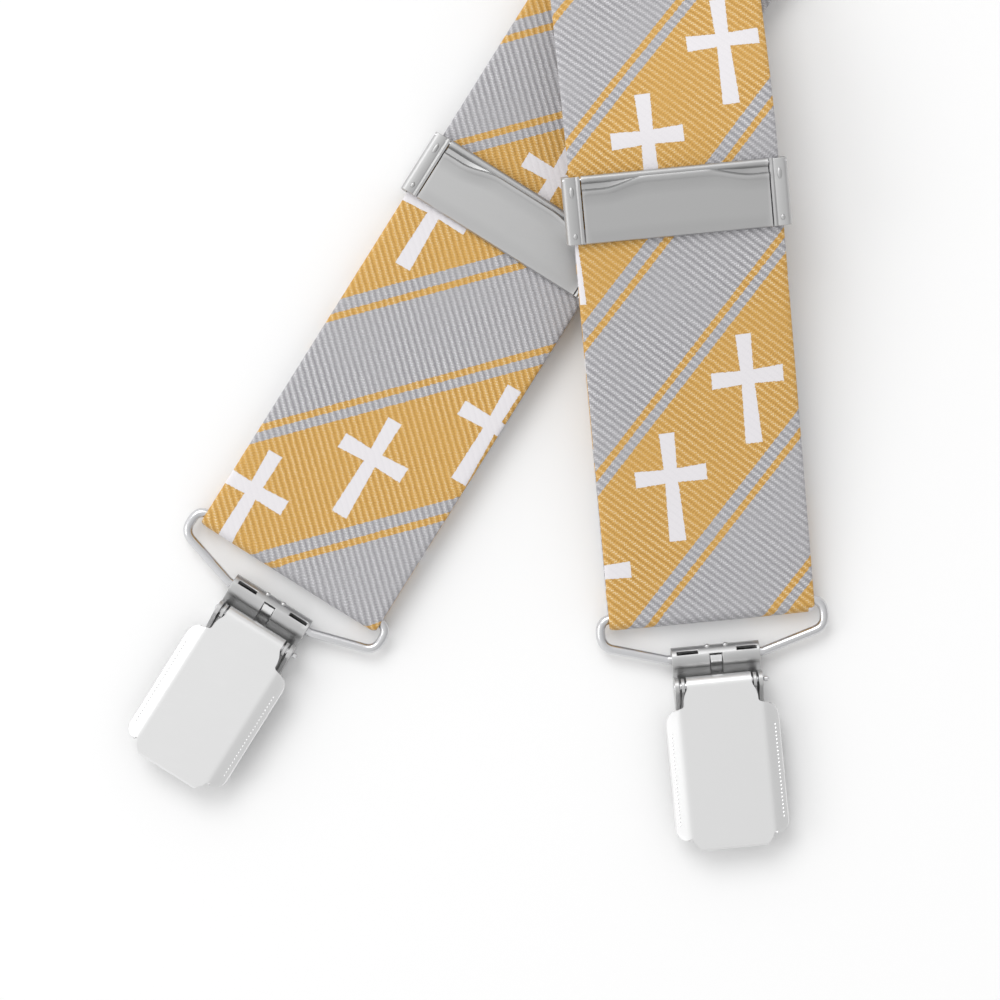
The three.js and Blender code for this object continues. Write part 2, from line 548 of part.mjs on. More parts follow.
function clipLever() {
  const wide = LEVER_WIDTH / 2;
  const neck = LEVER_NECK / 2;
  const toe = LEVER_TOE / 2;
  const round = 1.8;
  const outline = new THREE.Shape()
    .moveTo(-toe + 1.2, -LEVER_END)
    .lineTo(toe - 1.2, -LEVER_END)
    .lineTo(toe, -LEVER_END + 1.6)
    .lineTo(toe, -LEVER_STEP)
    .lineTo(wide - 1, -LEVER_STEP)
    .lineTo(wide, -LEVER_STEP + 1)
    .lineTo(wide, -LEVER_SHOULDER - round)
    .absarc(wide - round, -LEVER_SHOULDER - round, round, 0, Math.PI / 2, false)
    .lineTo(neck, -LEVER_SHOULDER + 0.5)
    .lineTo(neck, -PIN_DROP - CURL_OUTER - 0.1)
    .lineTo(CURL_SIDE, -PIN_DROP - CURL_OUTER - 0.1)
    .lineTo(CURL_SIDE, -PIN_DROP)
    .lineTo(-CURL_SIDE, -PIN_DROP)
    .lineTo(-CURL_SIDE, -PIN_DROP - CURL_OUTER - 0.1)
    .lineTo(-neck, -PIN_DROP - CURL_OUTER - 0.1)
    .lineTo(-neck, -LEVER_SHOULDER + 0.5)
    .lineTo(-wide + round, -LEVER_SHOULDER)
    .absarc(-wide + round, -LEVER_SHOULDER - round, round, Math.PI / 2, Math.PI, false)
    .lineTo(-wide, -LEVER_STEP + 1)
    .lineTo(-wide + 1, -LEVER_STEP)
    .lineTo(-toe, -LEVER_STEP)
    .lineTo(-toe, -LEVER_END + 1.6);
  const top = PLATE_TOP;
  const low = top - LEVER_SHEET;
  const panel = LEVER_PANEL / 2;
  const bent = shapeOf([
    [-wide - 0.2, top - WING_DROP], [-panel, top], [panel, top], [wide + 0.2, top - WING_DROP],
    [wide + 0.2, low - WING_DROP], [panel - 0.2, low], [-panel + 0.2, low], [-wide - 0.2, low - WING_DROP],
  ].reverse());
  const plate = alongZ(outline, top - 5, top + 1).intersect(alongY(bent, -LEVER_END - 1, 0));
  const curl = alongX(ringShape(HINGE, CURL_OUTER, BORE), -CURL_SIDE, CURL_SIDE, 12);
  const turned = box(-toe + 1.2, toe - 1.2, -LEVER_END, -LEVER_END + LEVER_SHEET, low - 1.0, low + 0.1);
  return geometryOf(union(plate, curl, turned));
}

// One wire, its ends meeting in the middle of the bar that the clip's barrel holds.
function bail() {
  const half = STRAP_WIDTH / 2 + BAIL_CLEARANCE + WIRE / 2;
  const narrow = CLIP_NECK / 2 + BARREL_END;
  const corners = [
    [GAP / 2, 0], [narrow, 0], [half, BAIL_HEIGHT - BAIL_SIDE], [half, BAIL_HEIGHT],
    [-half, BAIL_HEIGHT], [-half, BAIL_HEIGHT - BAIL_SIDE], [-narrow, 0], [-GAP / 2, 0],
  ].map(([x, y]) => V(x, y, 0));
  const path = [corners[0]];
  for (let i = 1; i < corners.length - 1; i += 1) {
    const into = corners[i].clone().sub(corners[i - 1]).normalize();
    const out = corners[i + 1].clone().sub(corners[i]).normalize();
    const bend = Math.tan(into.angleTo(out) / 2) * Math.min(BAIL_CORNER, i === 1 || i === 6 ? 1 : 9);
    const a = corners[i].clone().addScaledVector(into, -bend);
    const b = corners[i].clone().addScaledVector(out, bend);
    const curve = new THREE.QuadraticBezierCurve3(a, corners[i], b);
    path.push(...curve.getPoints(i === 1 || i === 6 ? 2 : 5));
  }
  path.push(corners[corners.length - 1]);
  const stations = path.map((p, i) => {
    const into = p.clone().sub(path[Math.max(i - 1, 0)]).normalize();
    const out = path[Math.min(i + 1, path.length - 1)].clone().sub(p).normalize();
    const t = into.add(out).normalize();
    const n = V(0, 0, 1);
    return { p, w: new THREE.Vector3().crossVectors(t, n).normalize(), n };
  });
  const radius = WIRE / 2;
  const section = new THREE.CylinderGeometry(radius, radius, 1, WIRE_SIDES, stations.length - 1);
  return sweep(section, stations);
}

// ---------- patch ----------
function patchShape() {
  const x = STRAP_WIDTH / 2 + PATCH_MARGIN;
  const y = PATCH_LENGTH / 2;
  const shape = new THREE.Shape().moveTo(0.3 * x, y);
  shape.quadraticCurveTo(0.45 * x, 0.8 * y, 0.85 * x, 0.6 * y);
  shape.quadraticCurveTo(x, 0.5 * y, 0.88 * x, 0.2 * y);
  shape.quadraticCurveTo(0.8 * x, 0, 0.88 * x, -0.2 * y);
  shape.quadraticCurveTo(x, -0.5 * y, 0.85 * x, -0.6 * y);
  shape.quadraticCurveTo(0.45 * x, -0.8 * y, 0.3 * x, -y);
  shape.lineTo(-0.3 * x, -y);
  shape.quadraticCurveTo(-0.45 * x, -0.8 * y, -0.85 * x, -0.6 * y);
  shape.quadraticCurveTo(-x, -0.5 * y, -0.88 * x, -0.2 * y);
  shape.quadraticCurveTo(-0.8 * x, 0, -0.88 * x, 0.2 * y);
  shape.quadraticCurveTo(-x, 0.5 * y, -0.85 * x, 0.6 * y);
  shape.quadraticCurveTo(-0.45 * x, 0.8 * y, -0.3 * x, y);
  return shape;
}

function patch(name, low, high) {
  return mesh(name, geometryOf(alongZ(patchShape(), low, high, 6).translate([0, PATCH_Y, 0])), 'leather');
}

// ---------- assembly ----------
// Places above are counted from the crossing of the front straps; laid moves them to the patch.
const suspenders = new THREE.Group();
const laid = new THREE.Group();
laid.position.y = -PATCH_Y;
suspenders.add(laid);

// A clip and its bail hung at a strap's fold; face turns the pair over for the back ends.
function clipSet(name, plan, level, face) {
  const set = new THREE.Group();
  set.position.set(plan.x, plan.y, level);
  set.rotation.z = -plan.heading;
  const turned = new THREE.Group();
  turned.rotation.y = face;
  turned.position.y = -BAIL_HEIGHT;
  turned.add(
    mesh(`bail_${name}`, bail(), 'steel'),
    mesh(`clip_base_${name}`, clipBase(), 'nickel'),
    mesh(`grip_pad_${name}`, gripPad(), 'plastic'),
    mesh(`hinge_pin_${name}`, hingePin(), 'steel'),
    mesh(`clip_jaw_${name}`, clipJaw(), 'nickel'),
    mesh(`jaw_spring_${name}`, jawSpring(), 'steel'),
    mesh(`clip_lever_${name}`, clipLever(), 'nickel'),
  );
  set.add(turned);
  return set;
}

for (const front of Object.values(FRONTS)) {
  const { name, side, fold, slide, slideZ, slope } = frontMetrics(front);
  laid.add(mesh(`front_strap_${name}`, frontStrap(front), 'silk'));
  laid.add(mesh(`back_strap_${name}`, backStrap(front), 'silk'));
  laid.add(mesh(`adjuster_tail_${name}`, adjusterTail(front), 'silk'));

  const slideSet = new THREE.Group();
  const at = frontPlan(slide, side);
  slideSet.position.set(at.x, at.y, slideZ);
  slideSet.rotation.order = 'ZXY';
  slideSet.rotation.set(slope, 0, -at.heading);
  slideSet.add(
    mesh(`slide_frame_${name}`, slideFrame(), 'satin_nickel'),
    mesh(`slide_lever_${name}`, slideLever(), 'satin_nickel'),
    mesh(`slide_pin_${name}`, slidePin(), 'steel'),
    mesh(`adjuster_end_${name}`, adjusterEnd(), 'silk'),
  );
  laid.add(slideSet);
  laid.add(clipSet(`front_${name}`, frontPlan(fold, side), BAR_LEVEL, 0));

  laid.add(mesh(`back_tail_${name}`, backTail(side, name), 'elastic'));
  const bar = backPlan(TAIL_BAR, side);
  laid.add(clipSet(`back_${name}`, bar, BACK_LEVEL, Math.PI));
}

const patchTop = PATCH_LEVEL.a + STRAP_THICKNESS / 2 + GAP;
laid.add(patch('patch_outer', 0, PATCH_OUTER));
laid.add(patch('patch_inner', patchTop, patchTop + PATCH_INNER));

export default suspenders;
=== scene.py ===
# %% [markdown]
# Two woven silk straps cross at the back patch, fold over at the shoulders and come down the front,
# each through an adjuster slide, round a wire bail and to a hinged grip clip. The imported model holds
# every size, joint and place. This script skins that frame with the cloth, leather and sheet metal
# that the real pieces are made of, so the first step is to load the frame and keep its parts and joints.

# %% Load the frame
import json
import math
from itertools import accumulate

import bmesh
import bpy
from mathutils import Matrix, Vector
from mathutils.bvhtree import BVHTree


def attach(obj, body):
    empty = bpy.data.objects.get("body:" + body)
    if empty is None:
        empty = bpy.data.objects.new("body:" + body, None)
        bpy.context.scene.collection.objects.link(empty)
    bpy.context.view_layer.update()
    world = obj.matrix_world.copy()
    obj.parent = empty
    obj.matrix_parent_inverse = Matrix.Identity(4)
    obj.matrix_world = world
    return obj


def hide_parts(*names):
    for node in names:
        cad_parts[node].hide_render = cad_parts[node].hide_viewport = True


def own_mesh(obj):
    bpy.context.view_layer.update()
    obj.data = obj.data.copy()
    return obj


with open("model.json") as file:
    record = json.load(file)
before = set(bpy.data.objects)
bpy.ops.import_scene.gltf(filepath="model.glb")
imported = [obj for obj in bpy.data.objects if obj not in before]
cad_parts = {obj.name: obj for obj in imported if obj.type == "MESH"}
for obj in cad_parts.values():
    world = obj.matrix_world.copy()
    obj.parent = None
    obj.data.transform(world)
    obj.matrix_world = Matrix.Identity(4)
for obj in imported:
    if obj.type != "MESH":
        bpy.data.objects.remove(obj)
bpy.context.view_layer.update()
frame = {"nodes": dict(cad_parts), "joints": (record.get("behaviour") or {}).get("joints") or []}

# %% [markdown]
# ## Places from the joints
# Each clip and slide has its own small frame: x across the strap, y up the strap and z to the front.
# The joints state those axes and the hinge points, so a piece can be drawn once in millimetres about
# its own origin, and `placing` carries it to each place where the object has one.

# %% Frames of the clips and slides
MM = 0.001
JOINTS = {joint["name"]: joint for joint in frame["joints"]}
SLIDE_HINGE = (5.1, 1.3)  # lever pin from the slide's middle: up the strap, to the front


def spot(joint):
    return Vector(JOINTS[joint]["pos_m"])


def axis(joint):
    return Vector(JOINTS[joint]["axis"]).normalized()


def placing(origin, across, up):
    """Takes a piece drawn in millimetres about its own origin to its place on the object."""
    across = across.normalized()
    up = (up - up.project(across)).normalized()
    turn = Matrix((across, up, across.cross(up))).transposed().to_4x4()
    return Matrix.Translation(origin) @ turn @ Matrix.Scale(MM, 4)


CLIPS = {}
for name in ("front_a", "front_b", "back_a", "back_b"):
    barrel = spot(f"clip_swing_{name}")
    CLIPS[name] = placing(barrel, axis(f"clip_swing_{name}"), spot(f"bail_swing_{name}") - barrel)

SLIDES = {}
for name in "ab":
    across, up = -axis(f"slide_lever_flip_{name}"), -axis(f"slide_travel_{name}")
    front = across.cross(up)
    middle = spot(f"slide_lever_flip_{name}") - (up * SLIDE_HINGE[0] + front * SLIDE_HINGE[1]) * MM
    SLIDES[name] = placing(middle, across, up)
print(len(CLIPS), "clips and", len(SLIDES), "slides placed")

# %% [markdown]
# ## Camera
# The object is seen from straight above, rolled a little about the vertical so that the two straps
# lean unevenly. A short lens close by would do too, but it would show the sides of the clips; a long
# lens from far off keeps the flat hardware square. The crossing of the straps lies just above the upper
# edge of the view; it is found from the lean of strap a and the place of its bail.

# %% Crossing of the straps and the camera
lean_axis = axis("clip_swing_front_a")
LEAN = math.atan2(-lean_axis.y, lean_axis.x)
bar_a = spot("bail_swing_front_a")
CROSSING = Vector((0, bar_a.y - bar_a.x / math.tan(LEAN), 0))
CAMERA_ROLL = math.radians(13.3)
VIEW_CENTRE = CROSSING + Vector((-5.5, -89.2, 4.0)) * MM  # on top of the straps, towards the clips
VIEW_WIDTH = 169.6 * MM  # what the view takes in at that height

camera = bpy.data.objects.new("camera", bpy.data.cameras.new("camera"))
bpy.context.scene.collection.objects.link(camera)
camera.data.lens = 110
distance = VIEW_WIDTH * camera.data.lens / camera.data.sensor_width
camera.location = VIEW_CENTRE + Vector((0, 0, distance))
camera.rotation_euler = (0, 0, CAMERA_ROLL)
camera.data.clip_start = 0.01
bpy.context.scene.camera = camera
print(f"lean {math.degrees(LEAN):.1f} deg, camera {distance:.3f} m above the straps")

# %% [markdown]
# ## Skins and plates
# Most pieces are a section carried along a line: webbing, wire, a rolled edge. A curve with a bevel
# could do that, but it would give no say over each column of faces. `skin` makes a grid with the
# operator and moves its corners on to the surface, which keeps rows and columns regular and gives a
# natural UV map. `plate` extrudes an outline. Both draw in millimetres.

# %% Grids and plates
def skin(columns, rows, place, closed=True, uv=None, cloth=None):
    """A grid whose corner (i, j) sits at place(i, j). closed joins the first column to the last and caps
    it. cloth is the finish of each column, and uv(i, j, finish) the weave map in metres."""
    bm = bmesh.new()
    bmesh.ops.create_grid(bm, x_segments=columns, y_segments=rows, size=0.5)
    spots = {
        v: (round((v.co.x + 0.5) * columns), round((v.co.y + 0.5) * rows)) for v in bm.verts
    }
    if cloth:
        layer = bm.loops.layers.uv.new("weave")
        for face in bm.faces:
            face.material_index = cloth[min(spots[v][0] for v in face.verts)]
            for loop in face.loops:
                loop[layer].uv = uv(*spots[loop.vert], face.material_index)
    for v, (i, j) in spots.items():
        v.co = place(i, j)
    if closed:
        bmesh.ops.remove_doubles(bm, verts=bm.verts, dist=1e-5)
        bmesh.ops.holes_fill(bm, edges=[e for e in bm.edges if e.is_boundary], sides=0)
        bmesh.ops.recalc_face_normals(bm, faces=bm.faces)
    return bm


def plate(outline, low, high, along="x", bore=()):
    """An outline in (y, z), (x, z) or (x, y) extruded along the third axis; bore is a hole's outline."""
    lift = {
        "x": lambda p, t: (t, p[0], p[1]),
        "y": lambda p, t: (p[0], t, p[1]),
        "z": lambda p, t: (p[0], p[1], t),
    }[along]
    bm = bmesh.new()
    if bore:
        for ring in (outline, bore):
            verts = [bm.verts.new(lift(p, low)) for p in ring]
            for pair in zip(verts, verts[1:] + verts[:1]):
                bm.edges.new(pair)
        bmesh.ops.triangle_fill(bm, edges=bm.edges[:], use_beauty=True)
    else:
        bm.faces.new([bm.verts.new(lift(p, low)) for p in outline])
    raised = bmesh.ops.extrude_face_region(bm, geom=bm.faces[:])["geom"]
    step = Vector(lift((0, 0), high - low))
    bmesh.ops.translate(bm, verts=[g for g in raised if isinstance(g, bmesh.types.BMVert)], vec=step)
    bmesh.ops.recalc_face_normals(bm, faces=bm.faces)
    return bm


print("skin and plate ready")

# %% [markdown]
# ## Bent sheet
# Pressed metal is one sheet bent to a profile. It could be modelled as a block and hollowed, but a thin
# surface that gets its wall at the end keeps one thickness through every bend. `strip` also cuts
# windows and slots while the sheet is still a plain grid. `arc` and `bow` give the round stretches.

# %% Sheet metal, strips and curves
def sheet_metal(bm, thickness):
    """Gives an open surface its wall, half to each side, and points the faces outwards."""
    bm.normal_update()
    for v in bm.verts:
        v.co += v.normal * thickness / 2
    bmesh.ops.solidify(bm, geom=bm.faces, thickness=thickness)
    bmesh.ops.recalc_face_normals(bm, faces=bm.faces)
    return bm


def strip(profile, xs, thickness, cuts=()):
    """Sheet metal bent to a (y, z) profile over the columns xs; cuts are (x0, x1, first row, last row)."""
    bm = skin(len(xs) - 1, len(profile) - 1, lambda i, j: (xs[i], *profile[j]), closed=False)
    rows = {tuple(round(c, 4) for c in p): j for j, p in enumerate(profile)}

    def inside(face, x0, x1, first, last):
        middle = face.calc_center_median().x
        level = [rows[round(v.co.y, 4), round(v.co.z, 4)] for v in face.verts]
        return x0 < middle < x1 and min(level) >= first and max(level) <= last

    gone = [f for f in bm.faces if any(inside(f, *cut) for cut in cuts)]
    bmesh.ops.delete(bm, geom=gone, context="FACES")
    return sheet_metal(bm, thickness)


def arc(centre, radius, start, end, steps):
    """Points of an arc in a plane, angles in degrees from the first axis."""
    turns = [math.radians(start + (end - start) * k / steps) for k in range(steps + 1)]
    return [(centre[0] + radius * math.cos(t), centre[1] + radius * math.sin(t)) for t in turns]


def bow(start, pull, end, steps=8):
    """Points of a curve that leaves start towards pull and reaches end from it."""
    shares = [k / steps for k in range(steps + 1)]
    return [start * (1 - t) ** 2 + pull * 2 * t * (1 - t) + end * t ** 2 for t in shares]


def ease(t):
    """A smooth rise from 0 to 1 while t goes from 0 to 1, level before and after."""
    t = min(max(t, 0), 1)
    return t * t * (3 - 2 * t)


def every(start, end, gap=3.0):
    """Evenly spaced measures from start to end, about a gap apart."""
    count = max(round(abs(end - start) / gap), 1)
    return [start + (end - start) * k / count for k in range(count + 1)]


print("a quarter turn in four steps:", [(round(a, 2), round(b, 2)) for a, b in arc((0, 0), 1, 0, 90, 4)])

# %% [markdown]
# ## From drawing to piece
# A finished drawing becomes one object that sits at the origin with its place in its mesh, so patterns
# on object coordinates stay put. `piece` also sets smooth shading, softens the edges of thick metal
# with a bevel modifier, hangs the piece on the body it rides on and hides the imported nodes it stands for.

# %% Joining parts and placing pieces
def joined(*parts):
    """One bmesh from several, which stay separate closed shells."""
    whole = parts[0]
    for part in parts[1:]:
        mesh = bpy.data.meshes.new("part")
        part.to_mesh(mesh)
        whole.from_mesh(mesh)
        bpy.data.meshes.remove(mesh)
        part.free()
    return whole


def flattened_sphere(centre, size, rings=2):
    """A small bump: a sphere scaled along each axis, half sunk where it sits in a surface."""
    bm = bmesh.new()
    bmesh.ops.create_icosphere(bm, subdivisions=rings, radius=1)
    bmesh.ops.scale(bm, vec=size, verts=bm.verts)
    bmesh.ops.translate(bm, vec=centre, verts=bm.verts)
    return bm


def piece(name, bm, place, body, finishes, nodes=(), bevel=0.0, smooth=35):
    """Puts a drawn piece in its place on the object, on its body, with its finish."""
    mesh = bpy.data.meshes.new(name)
    bm.to_mesh(mesh)
    mesh.transform(place)
    mesh.update()
    made = bpy.data.objects.new(name, mesh)
    bpy.context.scene.collection.objects.link(made)
    for finish in finishes:
        mesh.materials.append(finish)
    mesh.polygons.foreach_set("use_smooth", [True] * len(mesh.polygons))
    mesh.set_sharp_from_angle(angle=math.radians(smooth))
    if bevel:
        rounding = made.modifiers.new("rounded edges", "BEVEL")
        rounding.width = bevel * MM
        rounding.segments = 2
        rounding.limit_method = "ANGLE"
        rounding.angle_limit = math.radians(smooth)
    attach(made, body)
    if nodes:
        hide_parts(*nodes)
    return made


IN_PLACE = Matrix.Scale(MM, 4)  # for pieces drawn in the object's own millimetres
print("pieces are drawn in millimetres and placed in metres")

# %% [markdown]
# ## Wiring materials
# Every finish is procedural. Nodes can be wired by hand in the editor; here small functions add a
# node, do a sum, mix two colours and lay out a ramp, so that each material below reads as a recipe.

# %% Node helpers
def srgb(red, green, blue):
    """A screen colour from 0 to 255 as the linear colour that shaders use."""
    parts = [c / 255 for c in (red, green, blue)]
    return (*[c / 12.92 if c <= 0.04045 else ((c + 0.055) / 1.055) ** 2.4 for c in parts], 1)


def feed(tree, socket, value):
    """Links a node's output to a socket, or sets a plain value on it."""
    if isinstance(value, bpy.types.NodeSocket):
        tree.links.new(value, socket)
    else:
        socket.default_value = value


def feed_all(tree, node, feeds):
    for name, value in feeds.items():
        feed(tree, node.inputs[name], value)


def put(tree, kind, feeds=None, **settings):
    """A new node with its settings, and its inputs by name."""
    made = tree.nodes.new("ShaderNode" + kind)
    for name, value in settings.items():
        setattr(made, name, value)
    feed_all(tree, made, feeds or {})
    return made


def calc(tree, operation, *values):
    made = put(tree, "Math", operation=operation)
    for socket, value in zip(made.inputs, values):
        feed(tree, socket, value)
    return made.outputs[0]


def mix(tree, factor, first, second, how="MIX"):
    made = put(tree, "Mix", data_type="RGBA", blend_type=how, clamp_result=True)
    for index, value in zip((0, 6, 7), (factor, first, second)):
        feed(tree, made.inputs[index], value)
    return made.outputs[2]


def steps(tree, factor, stops, interpolation="LINEAR"):
    """A grey ramp through (place, level) stops."""
    ramp = put(tree, "ValToRGB", {"Fac": factor})
    ramp.color_ramp.interpolation = interpolation
    for k, (place, level) in enumerate(stops):
        element = ramp.color_ramp.elements[k] if k < 2 else ramp.color_ramp.elements.new(place)
        element.position = place
        element.color = (level, level, level, 1)
    return calc(tree, "ADD", ramp.outputs["Color"], 0.0)


def noise(tree, vector, scale, detail=2.0, roughness=0.5):
    feeds = {"Vector": vector, "Scale": scale, "Detail": detail, "Roughness": roughness}
    return put(tree, "TexNoise", feeds).outputs["Fac"]


print("node helpers ready")

# %% [markdown]
# ## Groups and materials
# An effect that several finishes share is a node group with named sockets. The shader itself stays in
# each material, because only there can the export read it. A bump is the last step of every material.

# %% Groups, materials and bumps
def new_group(name, takes, gives):
    """An empty effect: its tree, its inputs by name, and the sockets that take its results."""
    tree = bpy.data.node_groups.new(name, "ShaderNodeTree")
    for label, value in takes.items():
        kind = "NodeSocketVector" if value is None else "NodeSocketFloat"
        socket = tree.interface.new_socket(label, in_out="INPUT", socket_type=kind)
        if value is not None:
            socket.default_value = value
    for label in gives:
        tree.interface.new_socket(label, in_out="OUTPUT", socket_type="NodeSocketFloat")
    entry, exit_ = tree.nodes.new("NodeGroupInput"), tree.nodes.new("NodeGroupOutput")
    return tree, entry.outputs, exit_.inputs


def use_group(tree, group, feeds):
    made = put(tree, "Group", node_tree=group)
    feed_all(tree, made, feeds)
    return made.outputs


def new_material(name):
    """A material, its node tree and its Principled shader."""
    material = bpy.data.materials.new(name)
    material.use_nodes = True
    tree = material.node_tree
    return material, tree, tree.nodes["Principled BSDF"]


def bump(tree, shader, height, strength, distance):
    made = put(tree, "Bump", {"Height": height, "Strength": strength, "Distance": distance})
    tree.links.new(made.outputs["Normal"], shader.inputs["Normal"])


print("white as a shader colour:", srgb(255, 255, 255))

# %% [markdown]
# ## Shared effects
# Three effects serve several finishes. `ribbed weave` is the rounded cord of a ribbed cloth with the
# fine threads that cross it, and masks for a painted highlight on its crests and painted shade between
# its ribs; silk, lining and elastic use it at their own pitches. The wear group is what handling does to
# plated metal, faint scratches and cloudy patches, and it adds a mask of pointed edges for a painted
# highlight. `fine grain` is the mottled pebble of leather and moulded plastic. Each could be wired again
# in every material, but one group keeps the recipe in one place, and each finish gives it its own numbers.

# %% Ribbed weave, wear with a painted edge highlight, and fine grain
def ribbed_weave():
    """Across counts millimetres over the ribs and Along counts them down each rib."""
    takes = {"Across": 0.0, "Along": 0.0, "Pitch": 1.0, "Thread": 0.28, "Unevenness": 0.2}
    tree, given, made = new_group("ribbed weave", takes, ("Height", "Light", "Painted_shade"))
    place = put(tree, "CombineXYZ", {"X": given["Across"], "Y": given["Along"]}).outputs[0]
    drift = calc(tree, "SUBTRACT", noise(tree, place, 0.9), 0.5)
    wander = calc(tree, "MULTIPLY", drift, given["Unevenness"])
    count = calc(tree, "DIVIDE", calc(tree, "ADD", given["Across"], wander), given["Pitch"])
    wave = calc(tree, "COSINE", calc(tree, "MULTIPLY", count, 2 * math.pi))
    rib = calc(tree, "MULTIPLY_ADD", wave, 0.5, 0.5)
    thread_count = calc(tree, "DIVIDE", given["Along"], given["Thread"])
    row = calc(tree, "MULTIPLY", calc(tree, "FLOOR", count), 2.4)
    beat = calc(tree, "SINE", calc(tree, "MULTIPLY_ADD", thread_count, 2 * math.pi, row))
    fibre = noise(tree, place, 4.2, 3.0, 0.7)
    coarse = calc(tree, "MULTIPLY_ADD", beat, 0.16, calc(tree, "MULTIPLY", fibre, 0.5))
    tree.links.new(calc(tree, "MULTIPLY_ADD", calc(tree, "POWER", rib, 0.6), 0.7, coarse), made["Height"])
    # The last two outputs are masks for colour: a painted highlight beaded along each rib crest and painted
    # shade between the ribs.
    lit = calc(tree, "MULTIPLY_ADD", calc(tree, "SUBTRACT", fibre, 0.5), 1.9, rib)
    beaded = calc(tree, "MULTIPLY_ADD", beat, 0.24, calc(tree, "SUBTRACT", lit, 0.27))
    tree.links.new(steps(tree, beaded, [(0.6, 0), (0.82, 1)]), made["Light"])
    tree.links.new(steps(tree, lit, [(0.0, 1), (0.36, 0)]), made["Painted_shade"])
    return tree.id_data


def wear_and_edge_highlight():
    """Scratches are noise drawn out along x; edges are where the surface is pointed, a mask for a painted
    highlight.
    """
    takes = {"Place": None, "Scale": 1.0, "Scratches": 0.5}
    tree, given, made = new_group("wear and edge highlight", takes, ("Clouds", "Scratch", "Edge_highlight"))
    cloud = noise(tree, given["Place"], calc(tree, "MULTIPLY", given["Scale"], 90.0), 4.0, 0.6)
    stretched = put(tree, "Mapping", {"Vector": given["Place"], "Scale": (260, 4200, 2600)}).outputs[0]
    line = noise(tree, stretched, given["Scale"], 2.0, 0.5)
    scratch = calc(tree, "MULTIPLY", steps(tree, line, [(0.60, 0), (0.74, 1)]), given["Scratches"])
    pointed = put(tree, "NewGeometry").outputs["Pointiness"]
    edge = calc(tree, "MULTIPLY", steps(tree, pointed, [(0.52, 0), (0.62, 1)]), cloud)
    for label, value in (("Clouds", cloud), ("Scratch", scratch), ("Edge_highlight", edge)):
        tree.links.new(value, made[label])
    return tree.id_data


def fine_grain():
    """Size is about one pebble in millimetres."""
    takes = {"Place": None, "Size": 0.6}
    tree, given, made = new_group("fine grain", takes, ("Height", "Mottle"))
    scale = calc(tree, "DIVIDE", 1000.0, given["Size"])
    cells = put(tree, "TexVoronoi", {"Vector": given["Place"], "Scale": scale}, feature="SMOOTH_F1")
    pores = noise(tree, given["Place"], calc(tree, "MULTIPLY", scale, 1.7), 3.0, 0.6)
    pebble = calc(tree, "MULTIPLY_ADD", pores, 0.4, calc(tree, "SUBTRACT", 1.0, cells.outputs["Distance"]))
    tree.links.new(pebble, made["Height"])
    tree.links.new(noise(tree, given["Place"], calc(tree, "MULTIPLY", scale, 0.08), 3.0), made["Mottle"])
    return tree.id_data


RIBBED_WEAVE, WEAR_AND_EDGE_HIGHLIGHT, FINE_GRAIN = ribbed_weave(), wear_and_edge_highlight(), fine_grain()
print("effects:", RIBBED_WEAVE.name, WEAR_AND_EDGE_HIGHLIGHT.name, FINE_GRAIN.name)

# %% [markdown]
# ## Stripes and crosses
# The figure is woven on the diagonal. Everything follows one slanting measure, `slant`, which grows
# down the strap and to the right, so a stripe is simply a range of it. The wide gold stripe carries a
# row of plain crosses; each point finds its nearest cross by rounding, and then asks whether it lies
# in the post or the arm of that cross. An image could hold the same figure, but sums stay sharp at any
# distance and follow the cloth without a seam.

# %% Woven figure
SLANT = math.tan(math.radians(47.4))
REPEAT = 55.65  # of the stripes, down the strap
GREY_RUNS = ((26.4, 29.45), (31.1, 51.45), (53.05, REPEAT))  # the rest is gold
CROSS_PITCH = 14.2  # to the next cross on the same stripe, across the strap
CROSS_PLACE = 11.4  # where the arms lie, below the upper edge of the wide stripe
CROSS_DRIFT = 1.0  # sideways, from one wide stripe to the next
POST_TOP, POST_FOOT, ARM_REACH = -7.3, 11.2, 6.05  # from where the arms cross the post
POST_HALF, POST_FLARE = 1.075, 0.032  # half the post's width, and how it widens along the post
ARM_HALF, ARM_FLARE = 1.12, 0.045
POST_LEAN, ARM_LEAN = math.radians(1.2), math.radians(2.0)


